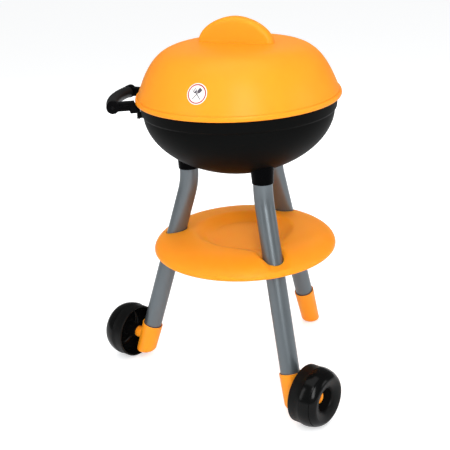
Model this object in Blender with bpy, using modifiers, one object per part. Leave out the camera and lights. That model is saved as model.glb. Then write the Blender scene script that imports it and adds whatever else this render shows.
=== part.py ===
"""Toy kettle barbecue: a lidded bowl on three splayed tube legs, a dished shelf, two wheels and a handle.

Metres, Z up, ground at Z = 0. Everything is laid out round the lid's own axis, with the wheel axles along X.
At the end the whole object is moved so that its origin lies under the middle of its bounding box.
"""

import math

import bmesh
import bpy
from mathutils import Matrix, Vector

# Gaps and cuts
SEAT_GAP = 0.0003
OVERRUN = 0.005

# Bowl
MOUTH_HEIGHT = 0.5411
MOUTH_RADIUS = 0.1755
BAND_HEIGHT = 0.0265
BAND_TAPER = 0.0027
BAND_STEP = 0.0035
BAND_STEP_HEIGHT = 0.0031
BODY_DEPTH = 0.1101
BODY_POWER = 1.9
BOWL_WALL = 0.0030
LEDGE_RISE = 0.0009

# Lid
LID_CLEARANCE = 0.0021
LID_WALL = 0.0035
SKIRT_DEPTH = 0.0067
DOME_HEIGHT = 0.0850
DOME_SIDE_POWER = 6.5
DOME_TOP_POWER = 0.9
FLANGE_REACH = 0.0039
FLANGE_HEIGHT = 0.0090
# Rolled flange, from its crease with the dome down to its lower edge, as reach and height shares
FLANGE_SHARES = ((0.0, 1.0), (0.5, 0.94), (0.92, 0.67), (1.0, 0.33), (0.74, 0.06), (0.56, 0.0))

# Half-moon fin on the lid
FIN_LENGTH = 0.1390
FIN_HEIGHT = 0.0443
FIN_THICKNESS = 0.0220
FIN_POWER = 1.8
FIN_EDGE = 0.0080
FIN_WALL = 0.0030
FIN_TURN = math.radians(15)

# Cooking grate
GRATE_CLEARANCE = 0.0010
GRATE_RING_WIDTH = 0.0045
GRATE_RING_HEIGHT = 0.0050
GRATE_RING_EDGE = 0.0010
GRATE_BAR_WIDTH = 0.0040
GRATE_BAR_HEIGHT = 0.0040
GRATE_BAR_PITCH = 0.0240
GRATE_SPINE_HEIGHT = 0.0028

# Leg tubes
LEG_RADIUS = 0.0172
LEG_WALL = 0.0012
LEG_BEND_RADIUS = 0.1400
LEG_UPRIGHT = 0.0045
LEG_END_HEIGHT = 0.0300
WHEEL_LEG_SPREAD = 0.2159
PLAIN_LEG_SPREAD = 0.2135
LEG_AZIMUTHS = {"right": math.radians(-30), "left": math.radians(210), "plain": math.radians(90)}
LEG_SPREADS = {"right": WHEEL_LEG_SPREAD, "left": WHEEL_LEG_SPREAD, "plain": PLAIN_LEG_SPREAD}

# Sockets under the bowl
SOCKET_PLACE = 0.0975
SOCKET_HEIGHT = 0.0216
SOCKET_LOW_RADIUS = 0.0190
SOCKET_TOP_RADIUS = 0.0203
SOCKET_EDGE = 0.0012
SOCKET_ROOF = 0.0033
PAD_RADIUS = 0.0095
PAD_RISE = 0.0006

# Shelf. Its rim is measured from the widest leg hole, and the dish is set in from its edge
SHELF_RIM = 0.0135055
SHELF_BASE_HEIGHT = 0.2510
SHELF_THICKNESS = 0.0320
SHELF_SHOULDER = 0.0788
SHELF_SHOULDER_DROP = 0.0285
SHELF_LOWER_EDGE = 0.0045
SHELF_HOLE_PLAY = 0.0009
DISH_DEPTH = 0.0140
DISH_INSET = 0.0748
DISH_SLOPE = 0.0300
# Valley that runs out from the dish to one of the legs
DISH_VALLEY = 0.0344
DISH_VALLEY_POWER = 28
DISH_VALLEY_LEG = "right"
# Radii of the rings of points inside the shoulder, as shares of the shoulder's inner radius
TOP_RING_SHARES = (0.4, 0.72, 0.82, 0.92)

# Foot caps
CAP_RADIUS = 0.0199
CAP_FOOT_RADIUS = 0.0179
CAP_TOP_HEIGHT = 0.0775
CAP_EDGE = 0.0060
CAP_MOUTH_CLEARANCE = 0.0012
CAP_MOUTH_DEPTH = 0.0030
WHEEL_CAP_LIFT = 0.0175

# Wheels
WHEEL_RADIUS = 0.0528
WHEEL_WIDTH = 0.0510
WHEEL_WALL = 0.0030
WHEEL_GAP = 0.0080
TREAD_WIDTH = 0.0200
TREAD_DROP = 0.0012
TREAD_EDGE = 0.0015
GROOVE_WIDTH = 0.0029
GROOVE_DEPTH = 0.0014
FACE_RADIUS = 0.0277
FUNNEL_RADIUS = 0.0225
FUNNEL_FLOOR_RADIUS = 0.0155
FUNNEL_DEPTH = 0.0150
FUNNEL_LIP = 0.0016
HUB_RADIUS = 0.0135

# Axle, moulded on the wheel caps
AXLE_FORWARD = 0.0038
SHOULDER_RADIUS = 0.0110
JOURNAL_RADIUS = 0.0090
SNAP_RADIUS = 0.0118
SNAP_END_RADIUS = 0.0098
SNAP_LENGTH = 0.0052
SNAP_RIM = 0.0012
SLIT_WIDTH = 0.0026
SLIT_DEPTH = 0.0200

# Handle
HANDLE_AZIMUTH = math.radians(210)
ARM_TURN = math.radians(15.6)
ARM_WIDTH = 0.0120
ARM_HEIGHT = 0.0157
ARM_RISE = 0.0050
ARM_REACH = 0.0451
ARM_RECESS_DEPTH = 0.0070
ARM_RIM = 0.0026
ARM_LID_GAP = 0.0012
ROOT_LENGTH = 0.0156
ROOT_HEIGHT = 0.0138
ROOT_BEND = 0.0014
KNUCKLE_RADIUS = 0.0115
KNUCKLE_FLOOR = 0.0030
GRIP_RADIUS = 0.0106
GRIP_BOW = 0.0118
GRIP_STUB_RADIUS = 0.0062
LUG_DROP = 0.0231
LUG_HEIGHT = 0.0090
LUG_REACH = 0.0045
LUG_EDGE = 0.0010

# Screws
SCREW_HEAD_RADIUS = 0.0035
SCREW_HEAD_HEIGHT = 0.0024
SCREW_SHANK_RADIUS = 0.0014
SCREW_BITE = 0.0070
SCREW_COVER = 0.0025
# Pan head's outline, from its flat top down to its seat, as radius and height shares
PAN_HEAD_SHARES = ((0.62, 1.0), (0.92, 0.62), (1.0, 0.0))

# How finely round shapes are stepped
ROUND_STEPS = 40
WHEEL_STEPS = 28
TUBE_SIDES = 20
BORE_SIDES = 24
AXLE_SIDES = 16
SMALL_STEPS = 10
BOWL_RINGS = 9
FIN_STEPS = 18
FIN_EDGE_STEPS = 2
SHELF_SHOULDER_STEPS = 8
SHELF_EDGE_STEPS = 2
WHEEL_SHOULDER_STEPS = 5
WHEEL_INSIDE_STEPS = 3
CAP_EDGE_STEPS = 3
LEG_BEND_STEPS = 4
GRIP_STEPS = 6
KNUCKLE_STEPS = 16
GRIP_SIDES = 16
SHARP_ANGLE = math.radians(35)
QUARTER_TURN = math.pi / 2
WELD = 1e-5

# Colours, as linear red, green and blue
ORANGE = (1.0, 0.36, 0.028)
GREY = (0.16, 0.17, 0.18)
MATTE_BLACK = (0.012, 0.012, 0.013)
GLOSS_BLACK = (0.008, 0.008, 0.009)
SCREW_METAL = (0.35, 0.35, 0.36)

# Heights that follow from the sizes above
BAND_BASE = MOUTH_HEIGHT - BAND_HEIGHT
BODY_RADIUS = MOUTH_RADIUS - BAND_TAPER - BAND_STEP
BODY_TOP = BAND_BASE - BAND_STEP_HEIGHT
LEDGE_HEIGHT = BAND_BASE + LEDGE_RISE
LID_SEAT = MOUTH_HEIGHT + SEAT_GAP
LID_BASE = LID_SEAT - SKIRT_DEPTH
DOME_BASE = LID_BASE + FLANGE_HEIGHT
DOME_TOP = DOME_BASE + DOME_HEIGHT
DOME_RADIUS = MOUTH_RADIUS + LID_CLEARANCE
LUG_TOP = MOUTH_HEIGHT - LUG_DROP


def clear_scene():
    for obj in list(bpy.data.objects):
        bpy.data.objects.remove(obj)


def new_collection(name):
    made = bpy.data.collections.new(name)
    bpy.context.scene.collection.children.link(made)
    return made


def new_material(name, colour, roughness, metallic=0.0):
    made = bpy.data.materials.new(name)
    made.use_nodes = True
    shader = made.node_tree.nodes["Principled BSDF"]
    shader.inputs["Base Color"].default_value = (*colour, 1.0)
    shader.inputs["Roughness"].default_value = roughness
    shader.inputs["Metallic"].default_value = metallic
    made.diffuse_color = (*colour, 1.0)
    return made


def add_object(name, data, collection=None):
    """A new object, in the cutters' collection unless another is given."""
    made = bpy.data.objects.new(name, data)
    (collection or CUTTERS).objects.link(made)
    if collection is None:
        made.hide_render = True
        made.display_type = "WIRE"
    return made


def mesh_from(name, shape):
    mesh = bpy.data.meshes.new(name)
    shape.to_mesh(mesh)
    shape.free()
    return mesh


def finish(obj, material):
    """Gives a piece its material and smooth shading with sharp edges kept."""
    obj.data.materials.clear()
    obj.data.materials.append(material)
    obj.data.shade_smooth()
    obj.data.set_sharp_from_angle(angle=SHARP_ANGLE)
    return obj


def aim(obj, place, direction):
    """Puts an object at a place with its own Z along a direction."""
    obj.location = place
    obj.rotation_mode = "QUATERNION"
    obj.rotation_quaternion = Vector(direction).to_track_quat("Z", "Y")
    return obj


def turned(name, profile, steps, collection=None, closed=False):
    """A profile of (radius, height) points turned about Z. It runs down the outer side, then up the inner."""
    mesh = bpy.data.meshes.new(name)
    edges = [(i, i + 1) for i in range(len(profile) - 1)]
    if closed:
        edges.append((len(profile) - 1, 0))
    mesh.from_pydata([(radius, 0.0, height) for radius, height in profile], edges, [])
    made = add_object(name, mesh, collection)
    screw = made.modifiers.new("turn", "SCREW")
    screw.steps = steps
    screw.render_steps = steps
    screw.use_merge_vertices = True
    screw.merge_threshold = WELD
    return made


def rod(name, start, end, radius, sides=BORE_SIDES, collection=None):
    """A straight cylinder between two points."""
    start, end = Vector(start), Vector(end)
    shape = bmesh.new()
    bmesh.ops.create_cone(
        shape,
        cap_ends=True,
        segments=sides,
        radius1=radius,
        radius2=radius,
        depth=(end - start).length,
    )
    return aim(add_object(name, mesh_from(name, shape), collection), (start + end) / 2, end - start)


def block(name, low, high, collection=None):
    """A box between two corners, in its own axes."""
    low, high = Vector(low), Vector(high)
    shape = bmesh.new()
    bmesh.ops.create_cube(shape, size=1.0)
    bmesh.ops.scale(shape, verts=shape.verts, vec=high - low)
    bmesh.ops.translate(shape, verts=shape.verts, vec=(low + high) / 2)
    return add_object(name, mesh_from(name, shape), collection)


def evaluated(obj):
    """The same object with its curve or modifiers made into a plain welded mesh."""
    bpy.context.view_layer.update()
    graph = bpy.context.evaluated_depsgraph_get()
    mesh = bpy.data.meshes.new_from_object(obj.evaluated_get(graph))
    shape = bmesh.new()
    shape.from_mesh(mesh)
    bmesh.ops.remove_doubles(shape, verts=shape.verts, dist=WELD)
    shape.to_mesh(mesh)
    shape.free()
    name, place = obj.name, obj.matrix_world.copy()
    home = obj.users_collection[0]
    bpy.data.objects.remove(obj)
    made = add_object(name, mesh, None if home == CUTTERS else home)
    made.matrix_world = place
    return made


def flat_piece(name, outline, thickness, edge=0.0, rounding=1, collection=None):
    """A flat outline in its own XY plane, with a thickness along Z and edges rounded by a radius."""
    curve = bpy.data.curves.new(name, "CURVE")
    curve.dimensions = "2D"
    curve.fill_mode = "BOTH"
    spline = curve.splines.new("POLY")
    spline.points.add(len(outline) - 1)
    for point, (x, y) in zip(spline.points, outline):
        point.co = (x, y, 0.0, 1.0)
    spline.use_cyclic_u = True
    curve.extrude = thickness / 2 - edge
    curve.bevel_depth = edge
    curve.offset = -edge
    curve.bevel_resolution = rounding
    return evaluated(add_object(name, curve, collection))


def bent_tube(name, points, radius, sides, collection=None):
    """A round bar along points, with flat ends."""
    curve = bpy.data.curves.new(name, "CURVE")
    curve.dimensions = "3D"
    curve.bevel_depth = radius
    curve.bevel_resolution = sides // 2 - 2
    curve.use_fill_caps = True
    spline = curve.splines.new("POLY")
    spline.points.add(len(points) - 1)
    for point, place in zip(spline.points, points):
        point.co = (*place, 1.0)
    return evaluated(add_object(name, curve, collection))


def combine(obj, other, operation):
    step = obj.modifiers.new(other.name, "BOOLEAN")
    step.object = other
    step.operation = operation
    step.solver = "EXACT"


def cut(obj, other):
    combine(obj, other, "DIFFERENCE")


def join(obj, other):
    combine(obj, other, "UNION")


def round_edges(obj, radius, segments=1):
    bevel = obj.modifiers.new("edges", "BEVEL")
    bevel.width = radius
    bevel.segments = segments
    bevel.limit_method = "ANGLE"


def spot(radius, azimuth, height):
    """The point at a radius and an azimuth from the lid's axis."""
    return Vector((radius * math.cos(azimuth), radius * math.sin(azimuth), height))


def quarter(radius, height, side_power, top_power, angles):
    """Points of a superellipse's quarter, as (radius, rise), one for each angle above its base."""
    return [
        (
            radius * math.cos(angle) ** (2 / side_power) if angle < QUARTER_TURN else 0.0,
            height * math.sin(angle) ** (2 / top_power),
        )
        for angle in angles
    ]


def arc(centre, radii, start, end, count):
    """Points of an elliptical arc in degrees, ends included."""
    angles = [math.radians(start + (end - start) * i / count) for i in range(count + 1)]
    return [(centre[0] + radii[0] * math.cos(a), centre[1] + radii[1] * math.sin(a)) for a in angles]


def bowl_outside(radius):
    """Height of the bowl's outer surface at a radius."""
    share = 1 - (radius / BODY_RADIUS) ** BODY_POWER
    return BODY_TOP - BODY_DEPTH * share ** (1 / BODY_POWER)


def bowl_inside(radius):
    share = 1 - (radius / (BODY_RADIUS - BOWL_WALL)) ** BODY_POWER
    return BODY_TOP - (BODY_DEPTH - BOWL_WALL) * share ** (1 / BODY_POWER)


def bowl_shell(offset):
    """The bowl's round body as (radius, height) points from its top edge to its lowest point."""
    angles = [QUARTER_TURN * i / BOWL_RINGS for i in range(BOWL_RINGS + 1)]
    points = quarter(BODY_RADIUS + offset, BODY_DEPTH + offset, BODY_POWER, BODY_POWER, angles)
    return [(radius, BODY_TOP - drop) for radius, drop in points]


# Heights in the bowl and on the legs
PAD_TOP = bowl_inside(SOCKET_PLACE + SCREW_HEAD_RADIUS) + PAD_RISE
SOCKET_BASE = bowl_outside(SOCKET_PLACE) - SOCKET_HEIGHT
LEG_TOP = bowl_outside(SOCKET_PLACE - LEG_RADIUS) - SEAT_GAP - SOCKET_ROOF
BEND_TOP = SOCKET_BASE - LEG_UPRIGHT


def band_outside(height):
    """Radius of the bowl's band at a height."""
    return MOUTH_RADIUS - BAND_TAPER * (MOUTH_HEIGHT - height) / BAND_HEIGHT


def leg_slope(spread):
    """Tangent of the leg's lean: it bends just under its socket, then runs straight to the ground."""
    reach = spread - SOCKET_PLACE
    half = reach / (BEND_TOP + math.sqrt(BEND_TOP**2 + reach * (reach - 2 * LEG_BEND_RADIUS)))
    return 2 * half / (1 - half**2)


def leg_reach(leg, height):
    """How far out a leg's straight line stands at a height."""
    spread = LEG_SPREADS[leg]
    return spread - leg_slope(spread) * height


def leg_point(leg, height):
    """The point of a leg's straight line at a height."""
    return spot(leg_reach(leg, height), LEG_AZIMUTHS[leg], height)


# Sizes of the shelf that follow from the legs
SHELF_HOLE_RADIUS = LEG_RADIUS + SEAT_GAP + SHELF_HOLE_PLAY
WIDEST_LEG_REACH = max(leg_reach(leg, SHELF_BASE_HEIGHT) for leg in LEG_SPREADS)
SHELF_RADIUS = WIDEST_LEG_REACH + SHELF_HOLE_RADIUS + SHELF_RIM
DISH_RADIUS = SHELF_RADIUS - DISH_INSET


def leg_path(leg, top_height, end_length):
    """Points down a leg's middle line. The straight part is lengthened past its lower end."""
    spread = LEG_SPREADS[leg]
    lean = math.atan(leg_slope(spread))
    points = [spot(SOCKET_PLACE, LEG_AZIMUTHS[leg], top_height)]
    for step in range(LEG_BEND_STEPS + 1):
        turn = lean * step / LEG_BEND_STEPS
        radius = SOCKET_PLACE + LEG_BEND_RADIUS * (1 - math.cos(turn))
        points.append(spot(radius, LEG_AZIMUTHS[leg], BEND_TOP - LEG_BEND_RADIUS * math.sin(turn)))
    low = leg_point(leg, LEG_END_HEIGHT)
    points.append(low + (low - points[-1]).normalized() * end_length)
    return points


def make_bowl():
    """Half-shell with an upright band, an inner ledge for the grate, screw pads and handle lugs."""
    band_radius = MOUTH_RADIUS - BAND_TAPER
    outer = [(MOUTH_RADIUS, MOUTH_HEIGHT), (band_radius, BAND_BASE)] + bowl_shell(0.0)
    inner = bowl_shell(-BOWL_WALL)[::-1]
    inner += [
        (BODY_RADIUS - BOWL_WALL, LEDGE_HEIGHT),
        (band_radius - BOWL_WALL, LEDGE_HEIGHT),
        (MOUTH_RADIUS - BOWL_WALL, MOUTH_HEIGHT),
    ]
    bowl = evaluated(turned("bowl", outer + inner, ROUND_STEPS, PARTS, closed=True))
    bowl_core = turned(
        "bowl_core",
        [(0.0, MOUTH_HEIGHT), (BODY_RADIUS - BOWL_WALL / 2, MOUTH_HEIGHT)] + bowl_shell(-BOWL_WALL / 2),
        ROUND_STEPS,
    )
    for leg, azimuth in LEG_AZIMUTHS.items():
        low = spot(SOCKET_PLACE, azimuth, bowl_outside(SOCKET_PLACE - PAD_RADIUS) - OVERRUN)
        pad = rod("pad_" + leg, low, spot(SOCKET_PLACE, azimuth, PAD_TOP), PAD_RADIUS)
        combine(pad, bowl_core, "INTERSECT")
        join(bowl, pad)
    middle = Vector((0.0, 0.0, (BAND_BASE + LEDGE_HEIGHT) / 2))
    band_core = rod("band_core", middle, (0.0, 0.0, MOUTH_HEIGHT), band_radius - BOWL_WALL / 2, ROUND_STEPS)
    for side, turn in ARM_SIDES.items():
        lug = block(
            "lug_" + side,
            (BODY_RADIUS - BOWL_WALL / 2, -ARM_WIDTH / 2, LUG_TOP - LUG_HEIGHT),
            (MOUTH_RADIUS + LUG_REACH, ARM_WIDTH / 2, LUG_TOP),
        )
        round_edges(lug, LUG_EDGE)
        cut(lug, band_core)
        lug.rotation_euler.z = HANDLE_AZIMUTH + turn
        join(bowl, lug)
    return finish(bowl, MATTE)


def make_lid():
    """Hollow dome with a rolled flange and a hollow half-moon fin moulded on top as its knob."""
    angles = [math.radians(degrees) for degrees in (90, 85, 80, 70, 60, 50, 40, 30, 20, 10)]
    dome = quarter(DOME_RADIUS, DOME_HEIGHT, DOME_SIDE_POWER, DOME_TOP_POWER, angles)
    profile = [(radius, DOME_BASE + rise) for radius, rise in dome]
    profile += [
        (DOME_RADIUS + reach * FLANGE_REACH, LID_BASE + height * FLANGE_HEIGHT)
        for reach, height in FLANGE_SHARES
    ]
    profile += [(DOME_RADIUS, LID_BASE), (DOME_RADIUS, LID_SEAT), (DOME_RADIUS - LID_WALL, LID_SEAT)]
    inner = quarter(
        DOME_RADIUS - LID_WALL, DOME_HEIGHT - LID_WALL, DOME_SIDE_POWER, DOME_TOP_POWER, angles[::-1]
    )
    profile += [(radius, DOME_BASE + rise) for radius, rise in inner]
    lid = evaluated(turned("lid", profile, ROUND_STEPS, PARTS))

    fin = fin_solid("fin", 0.0, LID_WALL / 2, FIN_EDGE)
    fin_hollow = fin_solid("fin_hollow", FIN_WALL, LID_WALL + OVERRUN, FIN_EDGE - FIN_WALL)
    join(lid, fin)
    cut(lid, fin_hollow)
    return finish(lid, ORANGE_PLASTIC)


def fin_solid(name, inset, root, edge):
    """The fin's half-moon, inset all round by a wall and carried down by a root below the dome's top."""
    length, height = FIN_LENGTH / 2 - inset, FIN_HEIGHT - inset
    angles = [math.pi * i / FIN_STEPS for i in range(FIN_STEPS + 1)]
    outline = [
        (
            math.copysign(length * abs(math.cos(a)) ** (2 / FIN_POWER), math.cos(a)),
            height * math.sin(a) ** (2 / FIN_POWER),
        )
        for a in angles
    ]
    below = root + edge + OVERRUN
    outline += [(-length, -below), (length, -below)]
    made = flat_piece(name, outline, FIN_THICKNESS - 2 * inset, edge, FIN_EDGE_STEPS)
    made.rotation_euler = (QUARTER_TURN, 0.0, FIN_TURN)
    made.location.z = DOME_TOP
    far = FIN_LENGTH
    floor = block(name + "_floor", (-far, -far, DOME_TOP - far), (far, far, DOME_TOP - root))
    cut(made, floor)
    return made


def make_grate():
    """A ring with parallel bars and one cross bar, lying on the bowl's ledge."""
    outer = MOUTH_RADIUS - BAND_TAPER - BOWL_WALL - GRATE_CLEARANCE
    inner = outer - GRATE_RING_WIDTH
    low = LEDGE_HEIGHT + SEAT_GAP
    high = low + GRATE_RING_HEIGHT
    ring = [
        (outer - GRATE_RING_EDGE, high),
        (outer, high - GRATE_RING_EDGE),
        (outer, low),
        (inner, low),
        (inner, high - GRATE_RING_EDGE),
        (inner + GRATE_RING_EDGE, high),
    ]
    grate = evaluated(turned("grate", ring, ROUND_STEPS, PARTS, closed=True))
    middle = (outer + inner) / 2
    mid_height = (low + high) / 2
    count = int((middle - GRATE_RING_WIDTH) / GRATE_BAR_PITCH)
    bars = bmesh.new()
    for index in range(-count, count + 1):
        place = index * GRATE_BAR_PITCH
        length = 2 * math.sqrt(middle**2 - (abs(place) + GRATE_BAR_WIDTH / 2) ** 2)
        size = Matrix.Diagonal((length, GRATE_BAR_WIDTH, GRATE_BAR_HEIGHT, 1.0))
        bmesh.ops.create_cube(bars, size=1.0, matrix=Matrix.Translation((0.0, place, mid_height)) @ size)
    join(grate, add_object("grate_bars", mesh_from("grate_bars", bars)))
    half_width, half_height = GRATE_BAR_WIDTH / 2, GRATE_SPINE_HEIGHT / 2
    spine = block(
        "grate_spine",
        (-half_width, -middle, mid_height - half_height),
        (half_width, middle, mid_height + half_height),
    )
    join(grate, spine)
    return finish(grate, MATTE)


def make_socket(leg):
    """Cup that takes the leg's top and fits up against the bowl, held by a screw from inside the bowl."""
    roof = LEG_TOP + SEAT_GAP
    bore = LEG_RADIUS + SEAT_GAP
    top = bowl_outside(SOCKET_PLACE + SOCKET_TOP_RADIUS) + OVERRUN
    profile = [
        (0.0, top),
        (SOCKET_TOP_RADIUS, top),
        (SOCKET_LOW_RADIUS, SOCKET_BASE + SOCKET_EDGE),
        (SOCKET_LOW_RADIUS - SOCKET_EDGE / 2, SOCKET_BASE),
        (bore, SOCKET_BASE),
        (bore, roof),
        (0.0, roof),
    ]
    socket = evaluated(turned("leg_socket_" + leg, profile, BORE_SIDES, PARTS))
    socket.location = spot(SOCKET_PLACE, LEG_AZIMUTHS[leg], 0.0)
    cut(socket, BOWL_ENVELOPE)
    cut(socket, SCREW_HOLES["socket_" + leg])
    return finish(socket, GLOSSY)


def make_leg(leg):
    """Tube, upright in its socket, bent just below it and straight down to its foot cap."""
    tube = bent_tube("leg_" + leg, leg_path(leg, LEG_TOP, 0.0), LEG_RADIUS, TUBE_SIDES, PARTS)
    hollow = bent_tube(
        "leg_hollow_" + leg, leg_path(leg, LEG_TOP + OVERRUN, OVERRUN), LEG_RADIUS - LEG_WALL, TUBE_SIDES
    )
    cut(tube, hollow)
    return finish(tube, GREY_METAL)


def dish_share(x, y):
    """How far into the dish a point of the shelf's top lies, 0 outside it to 1 on its flat floor.

    The dish is round, and a valley that grows shallower runs out from it to one leg.
    """
    radius, azimuth = math.hypot(x, y), math.atan2(y, x)
    towards_leg = (1 + math.cos(azimuth - LEG_AZIMUTHS[DISH_VALLEY_LEG])) / 2
    valley = DISH_VALLEY * towards_leg**DISH_VALLEY_POWER
    share = (DISH_RADIUS + valley - radius) / (DISH_SLOPE + valley)
    share = min(max(share, 0.0), 1.0)
    return share * share * (3 - 2 * share)


def make_shelf():
    """Disc with a broad falling shoulder, a dished middle and three slanted leg holes."""
    base, top = SHELF_BASE_HEIGHT, SHELF_BASE_HEIGHT + SHELF_THICKNESS
    flat = SHELF_RADIUS - SHELF_SHOULDER
    waist = top - SHELF_SHOULDER_DROP
    profile = [(0.0, top)] + [(flat * share, top) for share in TOP_RING_SHARES]
    profile += arc((flat, waist), (SHELF_SHOULDER, SHELF_SHOULDER_DROP), 90, 0, SHELF_SHOULDER_STEPS)
    lower = SHELF_LOWER_EDGE
    profile += arc((SHELF_RADIUS - lower, waist), (lower, waist - base), 0, -90, SHELF_EDGE_STEPS)[1:]
    profile.append((0.0, base))
    shelf = evaluated(turned("shelf", profile, ROUND_STEPS, PARTS))
    for vertex in shelf.data.vertices:
        if vertex.co.z > waist:
            vertex.co.z += dish_share(vertex.co.x, vertex.co.y) * (top - DISH_DEPTH - vertex.co.z)
    for leg, azimuth in LEG_AZIMUTHS.items():
        inward = spot(-SHELF_HOLE_PLAY, azimuth, 0.0)
        low = leg_point(leg, base - SHELF_HOLE_RADIUS) + inward
        high = leg_point(leg, top + SHELF_HOLE_RADIUS) + inward
        cut(shelf, rod("shelf_hole_" + leg, low, high, SHELF_HOLE_RADIUS))
    return finish(shelf, ORANGE_PLASTIC)


def make_cap(leg, base_height):
    """Cap on a leg's end: square to the leg at its mouth, cut level and rounded at its foot."""
    foot = leg_point(leg, 0.0)
    along = leg_point(leg, CAP_TOP_HEIGHT) - foot
    low = -OVERRUN * 2
    taper = (CAP_RADIUS - CAP_FOOT_RADIUS) / along.length
    shape = bmesh.new()
    turn = along.to_track_quat("Z", "Y").to_matrix().to_4x4()
    middle = Matrix.Translation(along.normalized() * (along.length + low) / 2)
    bmesh.ops.create_cone(
        shape,
        cap_ends=True,
        segments=BORE_SIDES,
        radius1=CAP_FOOT_RADIUS + taper * low,
        radius2=CAP_RADIUS,
        depth=along.length - low,
        matrix=middle @ turn,
    )
    everything = shape.verts[:] + shape.edges[:] + shape.faces[:]
    level = (0.0, 0.0, base_height)
    found = bmesh.ops.bisect_plane(
        shape, geom=everything, plane_co=level, plane_no=(0.0, 0.0, -1.0), clear_outer=True
    )
    rim = [edge for edge in found["geom_cut"] if isinstance(edge, bmesh.types.BMEdge)]
    bmesh.ops.edgeloop_fill(shape, edges=rim)
    bmesh.ops.bevel(
        shape,
        geom=rim,
        offset=CAP_EDGE,
        offset_type="OFFSET",
        segments=CAP_EDGE_STEPS,
        profile=0.5,
        affect="EDGES",
    )
    bmesh.ops.recalc_face_normals(shape, faces=shape.faces)
    name = "foot_cap_" + leg
    cap = add_object(name, mesh_from(name, shape), PARTS)
    cap.location = foot
    if leg in WHEEL_SIDES:
        join(cap, make_axle(leg))
        cut(cap, axle_slit(leg))
    bore_end = leg_point(leg, LEG_END_HEIGHT) - along.normalized() * SEAT_GAP
    rim_length = (leg_point(leg, CAP_TOP_HEIGHT) - bore_end).length
    bore = LEG_RADIUS + SEAT_GAP
    mouth = LEG_RADIUS + CAP_MOUTH_CLEARANCE
    profile = [
        (0.0, rim_length + OVERRUN),
        (mouth, rim_length + OVERRUN),
        (mouth, rim_length - CAP_MOUTH_DEPTH / 2),
        (bore, rim_length - CAP_MOUTH_DEPTH),
        (bore, 0.0),
        (0.0, 0.0),
    ]
    cut(cap, aim(turned("cap_bore_" + leg, profile, BORE_SIDES), bore_end, along))
    return finish(cap, ORANGE_PLASTIC)


def axle_line(leg):
    """A point on the wheel's axis beside the leg, and the way along it towards the wheel."""
    place = leg_point(leg, WHEEL_RADIUS)
    place.y -= AXLE_FORWARD
    return place, Vector((WHEEL_SIDES[leg], 0.0, 0.0))


def hub_reach():
    """How far along the axle the wheel's inner face lies from the leg's middle line."""
    return CAP_RADIUS + WHEEL_GAP


def axle_end():
    return hub_reach() + WHEEL_WIDTH - FUNNEL_DEPTH + SEAT_GAP + SNAP_LENGTH


def make_axle(leg):
    """Axle with a shoulder against the hub, a journal in it and a snap end beyond it."""
    shoulder = hub_reach() - SEAT_GAP
    end = axle_end()
    rim_high = end - SNAP_LENGTH + SNAP_RIM
    profile = [
        (0.0, end),
        (SNAP_END_RADIUS, end),
        (SNAP_RADIUS, rim_high),
        (SNAP_RADIUS, end - SNAP_LENGTH),
        (JOURNAL_RADIUS, end - SNAP_LENGTH),
        (JOURNAL_RADIUS, shoulder),
        (SHOULDER_RADIUS, shoulder),
        (SHOULDER_RADIUS, 0.0),
        (0.0, 0.0),
    ]
    return aim(turned("axle_" + leg, profile, AXLE_SIDES), *axle_line(leg))


def axle_slit(leg):
    """Slit that lets the snap end close up as the wheel is pushed on."""
    place, way = axle_line(leg)
    slit = block(
        "axle_slit_" + leg,
        (-SLIT_WIDTH / 2, -SNAP_RADIUS - OVERRUN, axle_end() - SLIT_DEPTH),
        (SLIT_WIDTH / 2, SNAP_RADIUS + OVERRUN, axle_end() + OVERRUN),
    )
    return aim(slit, place, way)


def make_wheel(leg):
    """Shell wheel, open at its back: tread band, round shoulder, funnel in its face and a hub tube."""
    width, wall = WHEEL_WIDTH, WHEEL_WALL
    tread = WHEEL_RADIUS - TREAD_DROP
    bore = JOURNAL_RADIUS + SEAT_GAP
    floor = width - FUNNEL_DEPTH
    shoulder = TREAD_WIDTH + GROOVE_WIDTH
    crown = (WHEEL_RADIUS - FACE_RADIUS, width - shoulder)
    profile = [(bore, floor), (FUNNEL_FLOOR_RADIUS, floor), (FUNNEL_RADIUS, width - FUNNEL_LIP)]
    profile.append((FUNNEL_RADIUS + FUNNEL_LIP, width))
    profile += arc((FACE_RADIUS, shoulder), crown, 90, 0, WHEEL_SHOULDER_STEPS)
    profile += [
        (tread - GROOVE_DEPTH, TREAD_WIDTH + GROOVE_WIDTH / 2),
        (tread, TREAD_WIDTH),
        (tread, TREAD_EDGE),
        (tread - TREAD_EDGE, 0.0),
        (tread - wall, 0.0),
        (tread - wall, TREAD_WIDTH),
    ]
    profile += arc((FACE_RADIUS, shoulder), (crown[0] - wall, crown[1] - wall), 0, 90, WHEEL_INSIDE_STEPS)[1:]
    profile += [
        (FUNNEL_RADIUS + wall, width - wall),
        (HUB_RADIUS + wall, floor - wall),
        (HUB_RADIUS, floor - wall),
        (HUB_RADIUS, 0.0),
        (bore, 0.0),
    ]
    wheel = evaluated(turned("wheel_" + leg, profile, WHEEL_STEPS, PARTS, closed=True))
    place, way = axle_line(leg)
    aim(wheel, place + way * hub_reach(), way)
    return finish(wheel, GLOSSY)


def arm_heights():
    """A handle arm's lower and upper faces along its bar, and the top of its root block."""
    low = LUG_TOP + SEAT_GAP
    return low + ARM_RISE, low + ARM_RISE + ARM_HEIGHT, low + ROOT_HEIGHT


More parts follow.
